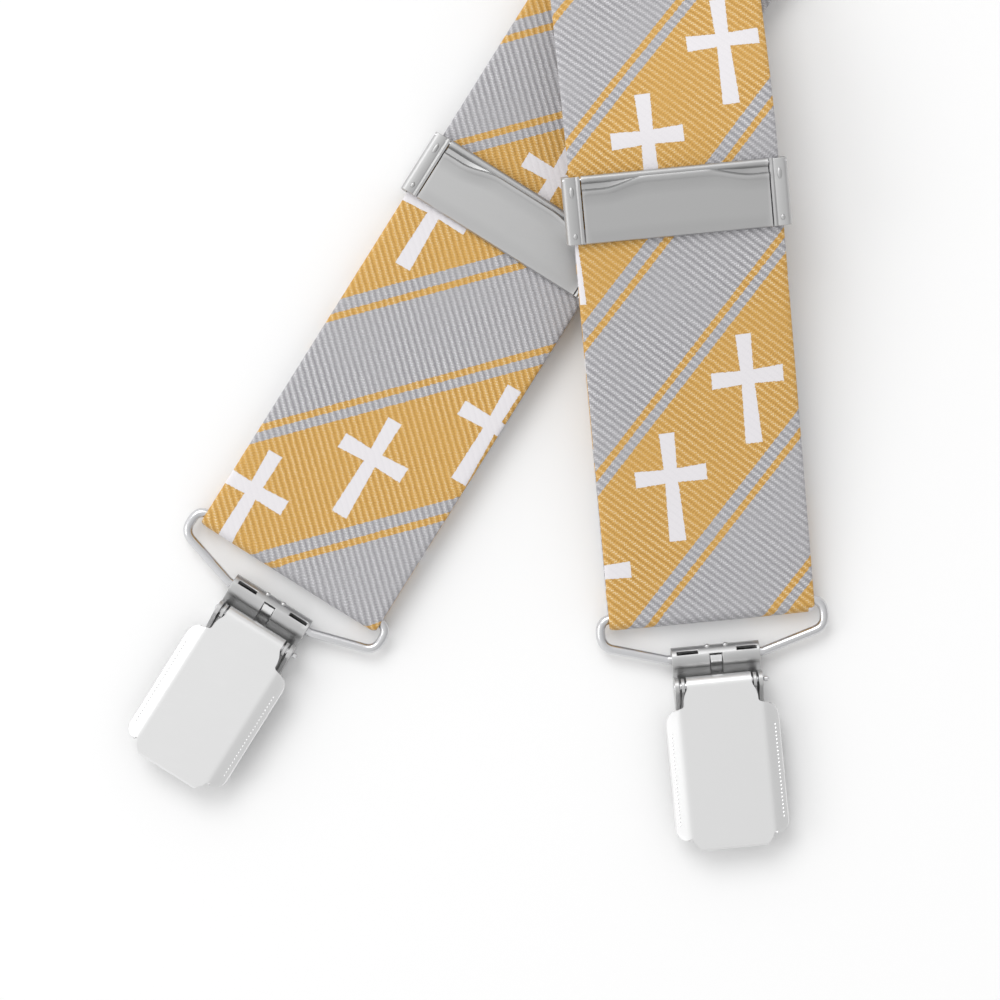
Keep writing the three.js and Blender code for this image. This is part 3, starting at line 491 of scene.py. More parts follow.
def woven_figure():
    """Across and Down are millimetres; a little noise makes the edges ragged, as thread ends are."""
    tree, given, made = new_group("woven figure", {"Across": 0.0, "Down": 0.0}, ("Grey", "Cross"))
    place = put(tree, "CombineXYZ", {"X": given["Across"], "Y": given["Down"]}).outputs[0]
    ragged = calc(tree, "MULTIPLY", calc(tree, "SUBTRACT", noise(tree, place, 2.4, 3.0, 0.65), 0.5), 1.3)
    slant = calc(tree, "MULTIPLY_ADD", given["Across"], SLANT, given["Down"])
    band = calc(tree, "FLOOR", calc(tree, "DIVIDE", slant, REPEAT))
    into = calc(tree, "SUBTRACT", slant, calc(tree, "MULTIPLY", band, REPEAT))
    edges = [(0.0, 0)]
    for start, end in GREY_RUNS:
        edges += [(start / REPEAT, 1), (end / REPEAT, 0)]
    share = calc(tree, "DIVIDE", calc(tree, "MULTIPLY_ADD", ragged, 0.7, into), REPEAT)
    tree.links.new(steps(tree, calc(tree, "WRAP", share, 1.0, 0.0), edges[:-1], "CONSTANT"), made["Grey"])

    shifted = calc(tree, "MULTIPLY_ADD", band, CROSS_DRIFT, given["Across"])
    nearest = calc(tree, "ROUND", calc(tree, "DIVIDE", shifted, CROSS_PITCH))
    side = calc(tree, "SUBTRACT", shifted, calc(tree, "MULTIPLY", nearest, CROSS_PITCH))
    past_arms = calc(tree, "SUBTRACT", into, CROSS_PLACE)
    below = calc(tree, "SUBTRACT", past_arms, calc(tree, "MULTIPLY", side, SLANT))
    across = calc(tree, "MULTIPLY_ADD", below, -math.tan(POST_LEAN), side)
    down = calc(tree, "MULTIPLY_ADD", side, math.tan(ARM_LEAN), below)
    reach, drop = calc(tree, "ABSOLUTE", across), calc(tree, "ABSOLUTE", down)

    def within(value, limit):
        return calc(tree, "LESS_THAN", calc(tree, "MULTIPLY_ADD", ragged, 0.35, value), limit)

    tall = calc(tree, "MULTIPLY", within(down, POST_FOOT), calc(tree, "GREATER_THAN", down, POST_TOP))
    slim = within(reach, calc(tree, "MULTIPLY_ADD", drop, POST_FLARE, POST_HALF))
    low = within(drop, calc(tree, "MULTIPLY_ADD", reach, ARM_FLARE, ARM_HALF))
    post = calc(tree, "MULTIPLY", slim, tall)
    arm = calc(tree, "MULTIPLY", low, within(reach, ARM_REACH))
    tree.links.new(calc(tree, "MAXIMUM", post, arm), made["Cross"])
    return tree.id_data


WOVEN_FIGURE = woven_figure()
print("stripe repeat", REPEAT, "mm, crosses every", CROSS_PITCH, "mm")

# %% [markdown]
# ## Silk
# The silk is a diagonal rib: each rib's crest carries a painted highlight and the colour is darkened
# between the ribs as painted shade. Its crosses are floated in pale thread that hides the ribs. Ribs a
# millimetre apart would need millions of faces, so they are a bump, with their highlight and shade painted
# into the colour.

# %% Silk
RIB_LEAN = math.radians(42.3)  # the silk's ribs run down to the right
RIB_PITCH = 1.085


def cloth_measures(tree):
    """Millimetres across and down the strap, from the weave map."""
    uv = put(tree, "SeparateXYZ", {"Vector": put(tree, "UVMap", uv_map="weave").outputs[0]})
    return calc(tree, "MULTIPLY", uv.outputs[0], 1000.0), calc(tree, "MULTIPLY", uv.outputs[1], 1000.0)


def silk():
    material, tree, shader = new_material("striped silk")
    across, down = cloth_measures(tree)
    figure = use_group(tree, WOVEN_FIGURE, {"Across": across, "Down": down})
    over = calc(tree, "SUBTRACT", calc(tree, "MULTIPLY", down, math.cos(RIB_LEAN)),
                calc(tree, "MULTIPLY", across, math.sin(RIB_LEAN)))
    along = calc(tree, "ADD", calc(tree, "MULTIPLY", down, math.sin(RIB_LEAN)),
                 calc(tree, "MULTIPLY", across, math.cos(RIB_LEAN)))
    weave = use_group(tree, RIBBED_WEAVE, {
        "Across": over, "Along": along, "Pitch": RIB_PITCH, "Thread": 0.47, "Unevenness": 0.35})
    place = put(tree, "CombineXYZ", {"X": across, "Y": down}).outputs[0]
    # patchy varies the strength of the painted highlight and painted shade over the strap.
    patchy = steps(tree, noise(tree, place, 0.06, 3.0, 0.6), [(0.3, 0.35), (0.7, 1.0)])
    light = calc(tree, "MULTIPLY", weave["Light"], patchy)
    dark = calc(tree, "MULTIPLY", weave["Painted_shade"], patchy)
    # Each colour is darkened between the ribs as painted shade and lightened on the crests as a painted
    # highlight; the pale crosses take only a little painted shade.
    gold = mix(tree, calc(tree, "MULTIPLY", dark, 0.75), srgb(210, 163, 82), srgb(176, 124, 44))
    gold = mix(tree, calc(tree, "MULTIPLY", light, 0.95), gold, srgb(246, 226, 186))
    grey = mix(tree, calc(tree, "MULTIPLY", dark, 0.75), srgb(176, 175, 178), srgb(126, 124, 130))
    grey = mix(tree, calc(tree, "MULTIPLY", light, 0.95), grey, srgb(232, 231, 235))
    pale = mix(tree, calc(tree, "MULTIPLY", dark, 0.25), srgb(226, 223, 226), srgb(208, 205, 210))
    colour = mix(tree, figure["Cross"], mix(tree, figure["Grey"], gold, grey), pale)
    feed_all(tree, shader, {"Base Color": colour, "Roughness": 0.62, "Sheen Weight": 0.12})
    flat = calc(tree, "MULTIPLY_ADD", figure["Cross"], -0.8, 1.0)
    bump(tree, shader, calc(tree, "MULTIPLY", weave["Height"], flat), 0.75, 0.00022)
    return material


SILK = silk()
print("silk ribs", RIB_PITCH, "mm apart, leaning", round(math.degrees(RIB_LEAN), 1), "deg")

# %% [markdown]
# ## Lining
# Behind the silk lies a plain white ribbon with fine cross ribs, stitched along both edges. Its
# stitches run the whole length of the strap, so they are worked out in the material from the distance
# to the stitch line instead of being hundreds of small meshes.

# %% Lining ribbon
STITCH_LINE = 10.6  # of its stitches, from the middle of the strap
STITCH_HALF, STITCH_STEP, STITCH_SHARE = 0.32, 2.9, 0.74  # half width; from one to the next; thread in it


def lining():
    material, tree, shader = new_material("white lining ribbon")
    across, down = cloth_measures(tree)
    weave = use_group(tree, RIBBED_WEAVE, {
        "Across": down, "Along": across, "Pitch": 0.62, "Unevenness": 0.12})
    edge = calc(tree, "ABSOLUTE", calc(tree, "SUBTRACT", calc(tree, "ABSOLUTE", across), STITCH_LINE))
    on_line = calc(tree, "LESS_THAN", edge, STITCH_HALF)
    share = calc(tree, "WRAP", calc(tree, "DIVIDE", down, STITCH_STEP), 1.0, 0.0)
    dash = calc(tree, "LESS_THAN", share, STITCH_SHARE)
    stitch = calc(tree, "MULTIPLY", on_line, dash)
    hole = calc(tree, "MULTIPLY", on_line, calc(tree, "SUBTRACT", 1.0, dash))
    # The ribbon is darkened between its fine ribs and in the holes between the stitches, both as painted
    # shade.
    base = mix(tree, calc(tree, "MULTIPLY", weave["Painted_shade"], 0.5), srgb(232, 231, 233), srgb(204, 203, 207))
    base = mix(tree, hole, base, srgb(150, 149, 153))
    sewn = mix(tree, stitch, base, srgb(248, 247, 248))
    feed_all(tree, shader, {"Base Color": sewn, "Roughness": 0.75})
    raised = calc(tree, "MULTIPLY_ADD", stitch, 1.6, calc(tree, "MULTIPLY", hole, -1.5))
    bump(tree, shader, calc(tree, "ADD", weave["Height"], raised), 0.6, 0.00012)
    return material


LINING = lining()
print("lining stitched every", STITCH_STEP, "mm,", STITCH_LINE, "mm from the middle")

# %% [markdown]
# ## Elastic and thread
# The back tails are a silver-grey elastic: round ribs along it, crossed by fine threads. It uses the
# same weave group twice, once in each direction. The thread of the few modelled stitches is only a
# twist of light and dark, which is all that shows at its size.

# %% Elastic and thread
def elastic():
    material, tree, shader = new_material("silver-grey elastic")
    across, down = cloth_measures(tree)
    ribs = use_group(tree, RIBBED_WEAVE, {"Across": across, "Along": down, "Pitch": 1.55, "Thread": 0.42})
    picks = use_group(tree, RIBBED_WEAVE, {"Across": down, "Along": across, "Pitch": 0.7})
    # Painted shade between the ribs, and a painted highlight on the fine cross threads.
    base = mix(tree, calc(tree, "MULTIPLY", ribs["Painted_shade"], 0.8), srgb(174, 174, 179), srgb(118, 118, 124))
    base = mix(tree, calc(tree, "MULTIPLY", picks["Light"], 0.5), base, srgb(216, 216, 221))
    feed_all(tree, shader, {"Base Color": base, "Roughness": 0.7})
    bump(tree, shader, calc(tree, "MULTIPLY_ADD", picks["Height"], 0.45, ribs["Height"]), 0.8, 0.0002)
    return material


def thread(name, colour):
    material, tree, shader = new_material(name)
    place = put(tree, "TexCoord").outputs["Object"]
    twist = noise(tree, place, 5200.0, 2.0)
    shade = tuple(0.72 * c for c in colour[:3]) + (1,)
    plies = steps(tree, twist, [(0.35, 0), (0.65, 1)])
    feed_all(tree, shader, {"Base Color": mix(tree, plies, shade, colour), "Roughness": 0.55})
    bump(tree, shader, twist, 0.5, 0.00006)
    return material


ELASTIC = elastic()
GREY_THREAD = thread("pale grey thread", srgb(196, 196, 200))
print("cloths:", SILK.name, LINING.name, ELASTIC.name, GREY_THREAD.name)

# %% [markdown]
# ## Metal, leather and plastic
# The clips are bright nickel with a soft reflection, their necks and jaws a darker copy of it as painted
# shade, the slides a darker satin nickel, and the bails and pins polished wire. Clouds and scratches change
# the roughness, and pointed edges are painted lighter as a painted highlight. One function makes all
# four metals, since they differ only in tone, roughness and scratches.

# %% Nickel, wire, leather and plastic
def nickel(name, tone, edge_highlight_colour, roughness, scratches):
    material, tree, shader = new_material(name)
    place = put(tree, "TexCoord").outputs["Object"]
    wear_and_edge_masks = use_group(tree, WEAR_AND_EDGE_HIGHLIGHT, {"Place": place, "Scratches": scratches})
    dull = tuple(0.9 * c for c in tone[:3]) + (1,)
    cloudy = mix(tree, calc(tree, "MULTIPLY", wear_and_edge_masks["Clouds"], 0.35), tone, dull)
    scratched = calc(tree, "MULTIPLY_ADD", wear_and_edge_masks["Scratch"], 0.15, roughness)
    rough = calc(tree, "MULTIPLY_ADD", wear_and_edge_masks["Clouds"], 0.12, scratched)
    # Pointed edges take the lighter colour as a painted highlight.
    metal = mix(tree, wear_and_edge_masks["Edge_highlight"], cloudy, edge_highlight_colour)
    feed_all(tree, shader, {"Base Color": metal, "Roughness": rough, "Metallic": 1.0})
    waves = calc(tree, "MULTIPLY", wear_and_edge_masks["Clouds"], 0.3)
    bump(tree, shader, calc(tree, "MULTIPLY_ADD", wear_and_edge_masks["Scratch"], -1.0, waves), 0.2, 0.00002)
    return material


def leather():
    material, tree, shader = new_material("grey leather")
    place = put(tree, "TexCoord").outputs["Object"]
    grain = use_group(tree, FINE_GRAIN, {"Place": place, "Size": 0.75})
    base = mix(tree, grain["Mottle"], srgb(112, 112, 115), srgb(150, 150, 153))
    # Painted shade: the hollows of the grain are darkened.
    creases = calc(tree, "MULTIPLY", steps(tree, grain["Height"], [(0.35, 1), (0.75, 0)]), 0.6)
    hide = mix(tree, creases, base, srgb(78, 78, 82))
    rough = calc(tree, "MULTIPLY_ADD", grain["Mottle"], 0.2, 0.42)
    feed_all(tree, shader, {"Base Color": hide, "Roughness": rough})
    bump(tree, shader, grain["Height"], 0.7, 0.00016)
    return material


def plastic():
    material, tree, shader = new_material("milky plastic")
    place = put(tree, "TexCoord").outputs["Object"]
    grain = use_group(tree, FINE_GRAIN, {"Place": place, "Size": 0.3})
    milky = mix(tree, grain["Mottle"], srgb(224, 224, 218), srgb(242, 242, 238))
    feed_all(tree, shader, {"Base Color": milky, "Roughness": 0.45})
    bump(tree, shader, grain["Height"], 0.25, 0.00005)
    return material


# The second colour of each metal is the painted highlight on its pointed edges.
BRIGHT = nickel("bright nickel", srgb(240, 240, 240), srgb(252, 252, 252), 0.24, 0.35)
# The clip necks and jaws get a darker copy of the bright nickel, as painted shade.
SHADED = nickel("neck of the clip, nickel darkened as painted shade", srgb(196, 196, 196), srgb(230, 230, 230), 0.34, 0.5)
SATIN = nickel("satin nickel", srgb(187, 187, 187), srgb(232, 232, 232), 0.42, 0.3)
WIRE = nickel("polished wire", srgb(214, 214, 216), srgb(240, 240, 240), 0.16, 0.3)
LEATHER, PLASTIC = leather(), plastic()
print("metals:", BRIGHT.name, SATIN.name, WIRE.name)

# %% [markdown]
# ## Lines of the straps
# In plan each strap runs straight from its clip through the crossing, then bends gently until both
# straps are parallel at the shoulder fold; the back halves bend the other way and cross at the patch.
# A straight, an arc and a straight give both the place and the heading anywhere along the line.
# The heights come from the frame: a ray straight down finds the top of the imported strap, so the skin
# passes over and under its neighbours exactly where the model does.

# %% Plan and heights of the straps
STRAIGHT, SWEEP, SHOULDER_RUN = 150.0, 500.0, 140.0  # from the crossing; bend radius; up to the fold
BEND_END = STRAIGHT + SWEEP * LEAN
BEND_SIDE = STRAIGHT * math.sin(LEAN) + SWEEP * (1 - math.cos(LEAN))
BEND_LEVEL = CROSSING.y / MM + STRAIGHT * math.cos(LEAN) + SWEEP * math.sin(LEAN)
SHOULDER = BEND_END + SHOULDER_RUN
BACK_LEAN = math.acos(1 - BEND_SIDE / SWEEP)
BACK_RUN = SWEEP * BACK_LEAN
FOLD_RADIUS, LOOP, HALF_THICK = 3.2, 1.6, 0.5  # middle of the cloth at the shoulder and round a bail
HAND = {"a": 1, "b": -1}  # the side that each strap's shoulder is on


def front_line(u, name):
    """Place and heading u millimetres up the front half from the crossing."""
    if u <= STRAIGHT:
        x, y, turn = u * math.sin(LEAN), CROSSING.y / MM + u * math.cos(LEAN), LEAN
    else:
        turn, past = max(LEAN - (u - STRAIGHT) / SWEEP, 0), max(u - BEND_END, 0)
        x = BEND_SIDE - SWEEP * (1 - math.cos(turn))
        y = BEND_LEVEL - SWEEP * math.sin(turn) + past
    return Vector((HAND[name] * x, y, 0)), HAND[name] * turn


def back_line(v, name):
    """Place and heading v millimetres down the back half from the shoulder."""
    turn, past = min(v, BACK_RUN) / SWEEP, max(v - BACK_RUN, 0)
    x = BEND_SIDE - SWEEP * (1 - math.cos(turn)) - past * math.sin(turn)
    y = BEND_LEVEL + SHOULDER_RUN - SWEEP * math.sin(turn) - past * math.cos(turn)
    return Vector((HAND[name] * x, y, 0)), HAND[name] * turn


def tops(node):
    """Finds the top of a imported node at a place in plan, in millimetres; None beside it."""
    mesh = frame["nodes"][node].data
    tree = BVHTree.FromPolygons([v.co / MM for v in mesh.vertices], [p.vertices[:] for p in mesh.polygons])

    def top(place):
        hit = tree.ray_cast(Vector((place.x, place.y, 100)), Vector((0, 0, -1)))[0]
        return hit.z if hit else None

    return top


def run(line, name, places, node):
    """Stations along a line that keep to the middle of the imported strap: place, width direction."""
    top, found = tops(node), []
    for at in places:
        place, heading = line(at, name)
        height = top(place)
        if height is not None:
            found.append((Vector((place.x, place.y, height - HALF_THICK)), heading))
    return found


print(f"front half {SHOULDER:.0f} mm to the shoulder, back half {BACK_RUN:.0f} mm to the patch")

# %% [markdown]
# ## Webbing
# A strap is one long ribbon of silk turned under along both edges, with a narrower white ribbon
# stitched over the raw margins. Its section is a closed loop of that shape carried along the stations.
# The loop fixes what each column of faces is made of, and the distance along the strap gives the map
# that the woven figure follows, so the pattern bends with the cloth and turns round its folds.

# %% Section of the strap and a ribbon along stations
SILK_FACE, LINING_FACE = 0, 1
HALF_SECTION = (  # right half, from the middle of the underside to the middle of the top
    (0, -0.5), (6, -0.5), (11.9, -0.5), (12.0, -0.38), (14.5, -0.4), (16.7, -0.38), (17.2, -0.28),
    (17.45, -0.1), (17.5, 0.05), (17.4, 0.2), (17.1, 0.34), (16.4, 0.43), (13, 0.47), (8, 0.5), (3, 0.5),
)
SECTION = list(HALF_SECTION) + [(-x, z) for x, z in reversed(HALF_SECTION)]
CLOTH = [LINING_FACE if max(abs(SECTION[k][0]), abs(SECTION[k + 1][0])) < 11.95 and SECTION[k][1] < 0
         else SILK_FACE for k in range(len(SECTION) - 1)]


def ribbon(stations, start, shift=(0.0, 0.0), cloth=CLOTH):
    """The strap's skin along (middle, heading) stations. start is the measure down the strap at the
    first station, shift moves the figure, and cloth is the finish of each column."""
    middles = [p for p, _ in stations]
    lengths = [0.0, *accumulate((b - a).length for a, b in zip(middles, middles[1:]))]
    sides, faces = [], []
    for k, (p, heading) in enumerate(stations):
        side = Vector((math.cos(heading), -math.sin(heading), 0))
        along = middles[min(k + 1, len(middles) - 1)] - middles[max(k - 1, 0)]
        sides.append(side)
        faces.append(side.cross(along).normalized())

    def place(i, j):
        x, z = SECTION[i]
        return middles[j] + sides[j] * x + faces[j] * z

    def uv(i, j, finish):
        down = start - lengths[j]
        if finish == LINING_FACE:
            return SECTION[i][0] * MM, down * MM
        return (SECTION[i][0] - shift[0]) * MM, (down - shift[1]) * MM

    return skin(len(SECTION) - 1, len(stations) - 1, place, uv=uv, cloth=cloth), lengths[-1]


def on_circle(centre, heading, radius, start, end, steps):
    """Stations round a fold about a level bar; angles in degrees from up the strap to the front."""
    up = Vector((math.sin(heading), math.cos(heading), 0))
    return [(centre + up * a + Vector((0, 0, b)), heading)
            for a, b in arc((0, 0), radius, start, end, steps)]


def leaving(centre, target, heading, radius, side):
    """Angle at which a line from the target touches the circle, above (side 1) or below (side -1)."""
    up = Vector((math.sin(heading), math.cos(heading), 0))
    reach = target - centre
    ahead = math.atan2(reach.z, reach.dot(up))
    return math.degrees(ahead + side * math.acos(radius / math.hypot(reach.z, reach.dot(up))))


print(len(SECTION) - 1, "columns round the section")

# %% [markdown]
# ## Straps
# Each strap starts in its fold round the bail, climbs over its own tail and under or over the other
# strap, turns over at the shoulder and comes back beneath to the patch. Strap b lies on top at the
# crossing. The figure is shifted on each strap so that its crosses fall where they were cut. A cloth
# simulation would add nothing to webbing this flat, so the ribbon is laid along its line directly.

# %% The two straps
FIGURE_SHIFT = {"a": (1.5, -25.5 - CROSS_PLACE), "b": (9.3, -41.5 - CROSS_PLACE)}
STRAP_CLEAR, TAIL_CLEAR = 12, 14  # from the bail's bar to the first stations above and below it
TAIL_REACH = 140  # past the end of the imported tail, which run() finds
TAILS = {}
for name in "ab":
    bar = spot(f"bail_swing_front_{name}") / MM
    fold_u = (bar.y - CROSSING.y / MM) / math.cos(LEAN)
    lean = HAND[name] * LEAN
    main = run(front_line, name, every(fold_u + STRAP_CLEAR, SHOULDER - 1.5), f"front_strap_{name}")
    tail = run(front_line, name, every(fold_u + TAIL_CLEAR, fold_u + TAIL_REACH), f"adjuster_tail_{name}")
    top_angle = leaving(bar, main[0][0], lean, LOOP, 1)
    foot_angle = leaving(bar, tail[0][0], lean, LOOP, -1)
    bottom = on_circle(bar, lean, LOOP, foot_angle + 360, top_angle, 14)
    crown = front_line(SHOULDER, name)[0] + Vector((0, 0, HALF_THICK + FOLD_RADIUS))
    over = on_circle(crown, 0.0, FOLD_RADIUS, 90, -90, 12)
    back = run(back_line, name, every(2.0, BACK_RUN - 0.2), f"back_strap_{name}")
    stations = bottom + main + over + back
    past_foot = math.radians(foot_angle + 360 - 180) * LOOP
    bm, length = ribbon(stations, past_foot, FIGURE_SHIFT[name])
    strap = piece(f"strap_{name}", bm, IN_PLACE, "root", (SILK, LINING),
                  nodes=(f"front_strap_{name}", f"back_strap_{name}"), smooth=50)
    TAILS[name] = (tail, bottom[0], past_foot)
    print(f"strap {name}: {length:.1f} mm of webbing from the bail to the patch")

# %% [markdown]
# ## Tails and sewn ends
# Beneath each front strap the same webbing goes back up to the slide, round its rear bar, and is sewn
# to itself. The tail shortens as the slide travels, so it is a piece of its own; the turned end rides
# with the slide, with two rows of stitches through it.

# %% Tails and turned ends
def stitch_row(start, end, count, width=0.28, rise=0.16):
    """A row of short thread stitches between two places, drawn as flattened beads with gaps."""
    step = (end - start) / count
    beads = []
    for k in range(count):
        bead = bmesh.new()
        bmesh.ops.create_icosphere(bead, subdivisions=1, radius=1)
        turn = math.atan2(step.y, step.x)
        bmesh.ops.scale(bead, vec=(step.length * 0.4, width, rise), verts=bead.verts)
        bmesh.ops.rotate(bead, cent=(0, 0, 0), matrix=Matrix.Rotation(turn, 3, "Z"), verts=bead.verts)
        bmesh.ops.translate(bead, vec=start + step * (k + 0.5), verts=bead.verts)
        beads.append(bead)
    return joined(*beads)


SEWN_FROM, SEWN_TO = -11.8, -20.6  # the flat, sewn part below the slide's middle
STITCH_REACH = 15.5  # of the stitch rows, to each side


def sewn_height(y):
    """The sewn end lifts a little towards its cut edge, which leaves the tail room to bunch up."""
    return -2.4 + 0.4 * (SEWN_FROM - y) / (SEWN_FROM - SEWN_TO)


for name in "ab":
    tail, foot, past_foot = TAILS[name]
    lowered = [foot] + tail
    tail_run = sum((b[0] - a[0]).length for a, b in zip(lowered, lowered[1:]))
    bm, length = ribbon(lowered[::-1], past_foot + tail_run, FIGURE_SHIFT[name])
    made = piece(f"adjuster_tail_{name}_cloth", bm, IN_PLACE, "root", (SILK, LINING),
                 nodes=(f"adjuster_tail_{name}",), smooth=50)
    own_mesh(made)

    turned = [(y, sewn_height(y)) for y in every(SEWN_TO, SEWN_FROM)]
    turned += [(SEWN_FROM + 6 * t, -2.4 + 1.1 * ease(t)) for t in (0.25, 0.5, 0.75, 1)]
    turned += [(-2.5 + 0.9 * c, -2.5 + 1.2 * s) for c, s in arc((0, 0), 1, 90, -90, 10)]
    turned += [(-3.8, -3.7)]
    stations = [(Vector((0, y, z)), 0) for y, z in turned]
    bm, turned_length = ribbon(stations, past_foot + length + 30, FIGURE_SHIFT[name])
    end = piece(f"adjuster_end_{name}_cloth", bm, SLIDES[name], f"slide_{name}", (SILK, LINING),
                nodes=(f"adjuster_end_{name}",), smooth=50)
    rows = []
    for y in (-16.5, -18.5):
        left, right = (Vector((x, y, sewn_height(y) + 0.53)) for x in (-STITCH_REACH, STITCH_REACH))
        rows.append(stitch_row(left, right, 13))
    piece(f"adjuster_stitches_{name}", joined(*rows), SLIDES[name], f"slide_{name}", (GREY_THREAD,))
    print(f"tail {name}: {length:.1f} mm, turned end {turned_length:.1f} mm")

# %% [markdown]
# ## Adjuster slides
# A slide is a pressed frame that the strap runs through, with a hinged lever across its face. The side
# walls turn over into lips with a small pressed bump on each. Each wall and bar keeps one section from
# end to end, so an extruded outline makes it.

# %% Slide frames
HALF_SLIDE = 5.6  # along the strap
UNDERSIDE = -2.9
BUMP_X, BUMP_Z = 17.3, 1.6


def slide_body():
    """Two side walls with lips and bumps, the rear bar and the toothed bar."""
    wall = [(17.85, UNDERSIDE), (18.75, UNDERSIDE)] + arc((18.0, 0.85), 0.75, 0, 90, 5)
    wall += [(16.7, 1.6), (16.45, 1.48), (16.2, 1.62), (15.75, 1.55), (15.75, 0.8), (17.85, 0.8)]
    rear_bar = [(-HALF_SLIDE, UNDERSIDE), (-2.6, UNDERSIDE), (-2.6, -2.1), (-HALF_SLIDE, -2.1)]
    teeth = [(5.4 - 0.4 * k, -0.8 - 0.15 * (k % 2)) for k in range(6)]
    toothed_bar = [(3.2, UNDERSIDE), (HALF_SLIDE, UNDERSIDE), (HALF_SLIDE, -0.9)] + teeth
    parts = [plate(rear_bar, -18.6, 18.6), plate(toothed_bar, -18.0, 18.0)]
    for hand in (-1, 1):
        parts.append(plate([(hand * x, z) for x, z in wall], -HALF_SLIDE, HALF_SLIDE, along="y"))
        parts.append(flattened_sphere((hand * BUMP_X, 3.1, BUMP_Z), (0.42, 1.0, 0.28)))
        parts.append(flattened_sphere((hand * BUMP_X, -4.2, BUMP_Z), (0.42, 0.55, 0.2)))
    return joined(*parts)


for name, place in SLIDES.items():
    piece(f"slide_frame_{name}_metal", slide_body(), place, f"slide_{name}", (SATIN,),
          nodes=(f"slide_frame_{name}",), bevel=0.16)
print("slide frame with rolled lips and pressed bumps")

# %% [markdown]
# ## Slide levers
# The lever is a shallow pressing whose upper part rolls round its pin behind a raised wave, and whose
# lower edge turns down to be lifted with a nail. Its section changes across the strap, because the wave
# rises in the middle, so every column of the grid has a section of its own.

# %% Slide levers
LEVER_FOOT, LEVER_FACE = -5.55, 1.56  # its lower edge up the slide, and the height of its flat face
LEVER_SHEET, CURL, SLIDE_PIN = 0.34, 0.46, 0.22  # thickness; radius round the pin; the pin's own
CALM, SWELL = 3.0, 1.35  # where the wave lies at the sides, and how far it rises between


def wave(x):
    """Where the lever's raised wave lies up the slide, x millimetres across."""
    return CALM + SWELL * ease((x + 12) / 7) * ease((13 - x) / 8)


def lever_section(x):
    """The section (y, z) x millimetres across: turned foot, face, wave, groove and curl."""
    crest = wave(x)
    behind = crest + 0.34
    groove = 0.95 + 0.75 * min(max(1 - (4.75 - behind) / 1.4, 0), 1)
    foot = ((0.0, 0.75), (0.03, 1.2), (0.15, 1.46), (0.45, LEVER_FACE))
    swell = ((-0.75, LEVER_FACE), (-0.5, 1.7), (-0.24, 1.96), (0.05, 2.03), (0.26, 1.75))
    section = [(LEVER_FOOT + up, z) for up, z in foot]
    section += [(-5.1 + (crest + 4.4) * t, LEVER_FACE) for t in (0.25, 0.5, 0.75)]
    section += [(crest + up, z) for up, z in swell]
    section += [(behind, groove + 0.08)] + [(behind + (4.72 - behind) * t, groove) for t in (0.35, 0.75)]
    return section + arc(SLIDE_HINGE, CURL, 130, -120, 14)


def lever_surface():
    xs = every(-15.55, 15.55, 0.55)
    sections = [lever_section(x) for x in xs]

    def place(i, j):
        return (xs[i], *sections[i][j])

    return sheet_metal(skin(len(xs) - 1, len(sections[0]) - 1, place, closed=False), LEVER_SHEET)


def turned_rod(profile, steps=20):
    """A rod turned from an (x, radius) profile about the x axis, closed at both ends."""
    bm = bmesh.new()
    verts = [bm.verts.new((x, max(r, 0.0), 0)) for x, r in profile]
    edges = [bm.edges.new(pair) for pair in zip(verts, verts[1:])]
    bmesh.ops.spin(bm, geom=verts + edges, cent=(0, 0, 0), axis=(1, 0, 0), angle=2 * math.pi,
                   steps=steps, use_merge=True)
    bmesh.ops.remove_doubles(bm, verts=bm.verts, dist=1e-4)
    bmesh.ops.recalc_face_normals(bm, faces=bm.faces)
    return bm


def domed(start, end, radius):
    """Profile of a rod with rounded ends."""
    turns = (0, 0.4, 0.8, 1.2, math.pi / 2)
    head = [(start + radius * (1 - math.cos(t)) * 0.6, radius * math.sin(t)) for t in turns]
    return head + [(start + end - x, r) for x, r in reversed(head)]


for name, place in SLIDES.items():
    piece(f"slide_lever_{name}_metal", lever_surface(), place, f"slide_lever_{name}", (SATIN,),
          nodes=(f"slide_lever_{name}",), smooth=40)
    pin = turned_rod(domed(-18.7, 18.7, SLIDE_PIN), 14)
    bmesh.ops.translate(pin, vec=(0, *SLIDE_HINGE), verts=pin.verts)
    piece(f"slide_pin_{name}_metal", pin, place, f"slide_{name}", (WIRE,),
          nodes=(f"slide_pin_{name}",))
print(f"wave from {wave(-15):.1f} to {wave(0):.1f} mm up the lever")

# %% [markdown]
# ## Wire bails
# Each bail is one wire, 1.6 mm thick, bent into a wide flat loop: the strap folds round its long side
# and its two ends meet inside the rolled barrel of the clip. A round section carried along a line with
# curved corners keeps the wire's thickness even through the bends.

# %% Bails
WIRE_RADIUS = 0.8
LONG_SIDE = 7.9  # of the wire, up from the clip's barrel
BAIL_SIDE = ((0.15, 0), (8.2, 0), (19.1, 3.2), (19.1, LONG_SIDE))  # corners of the right half


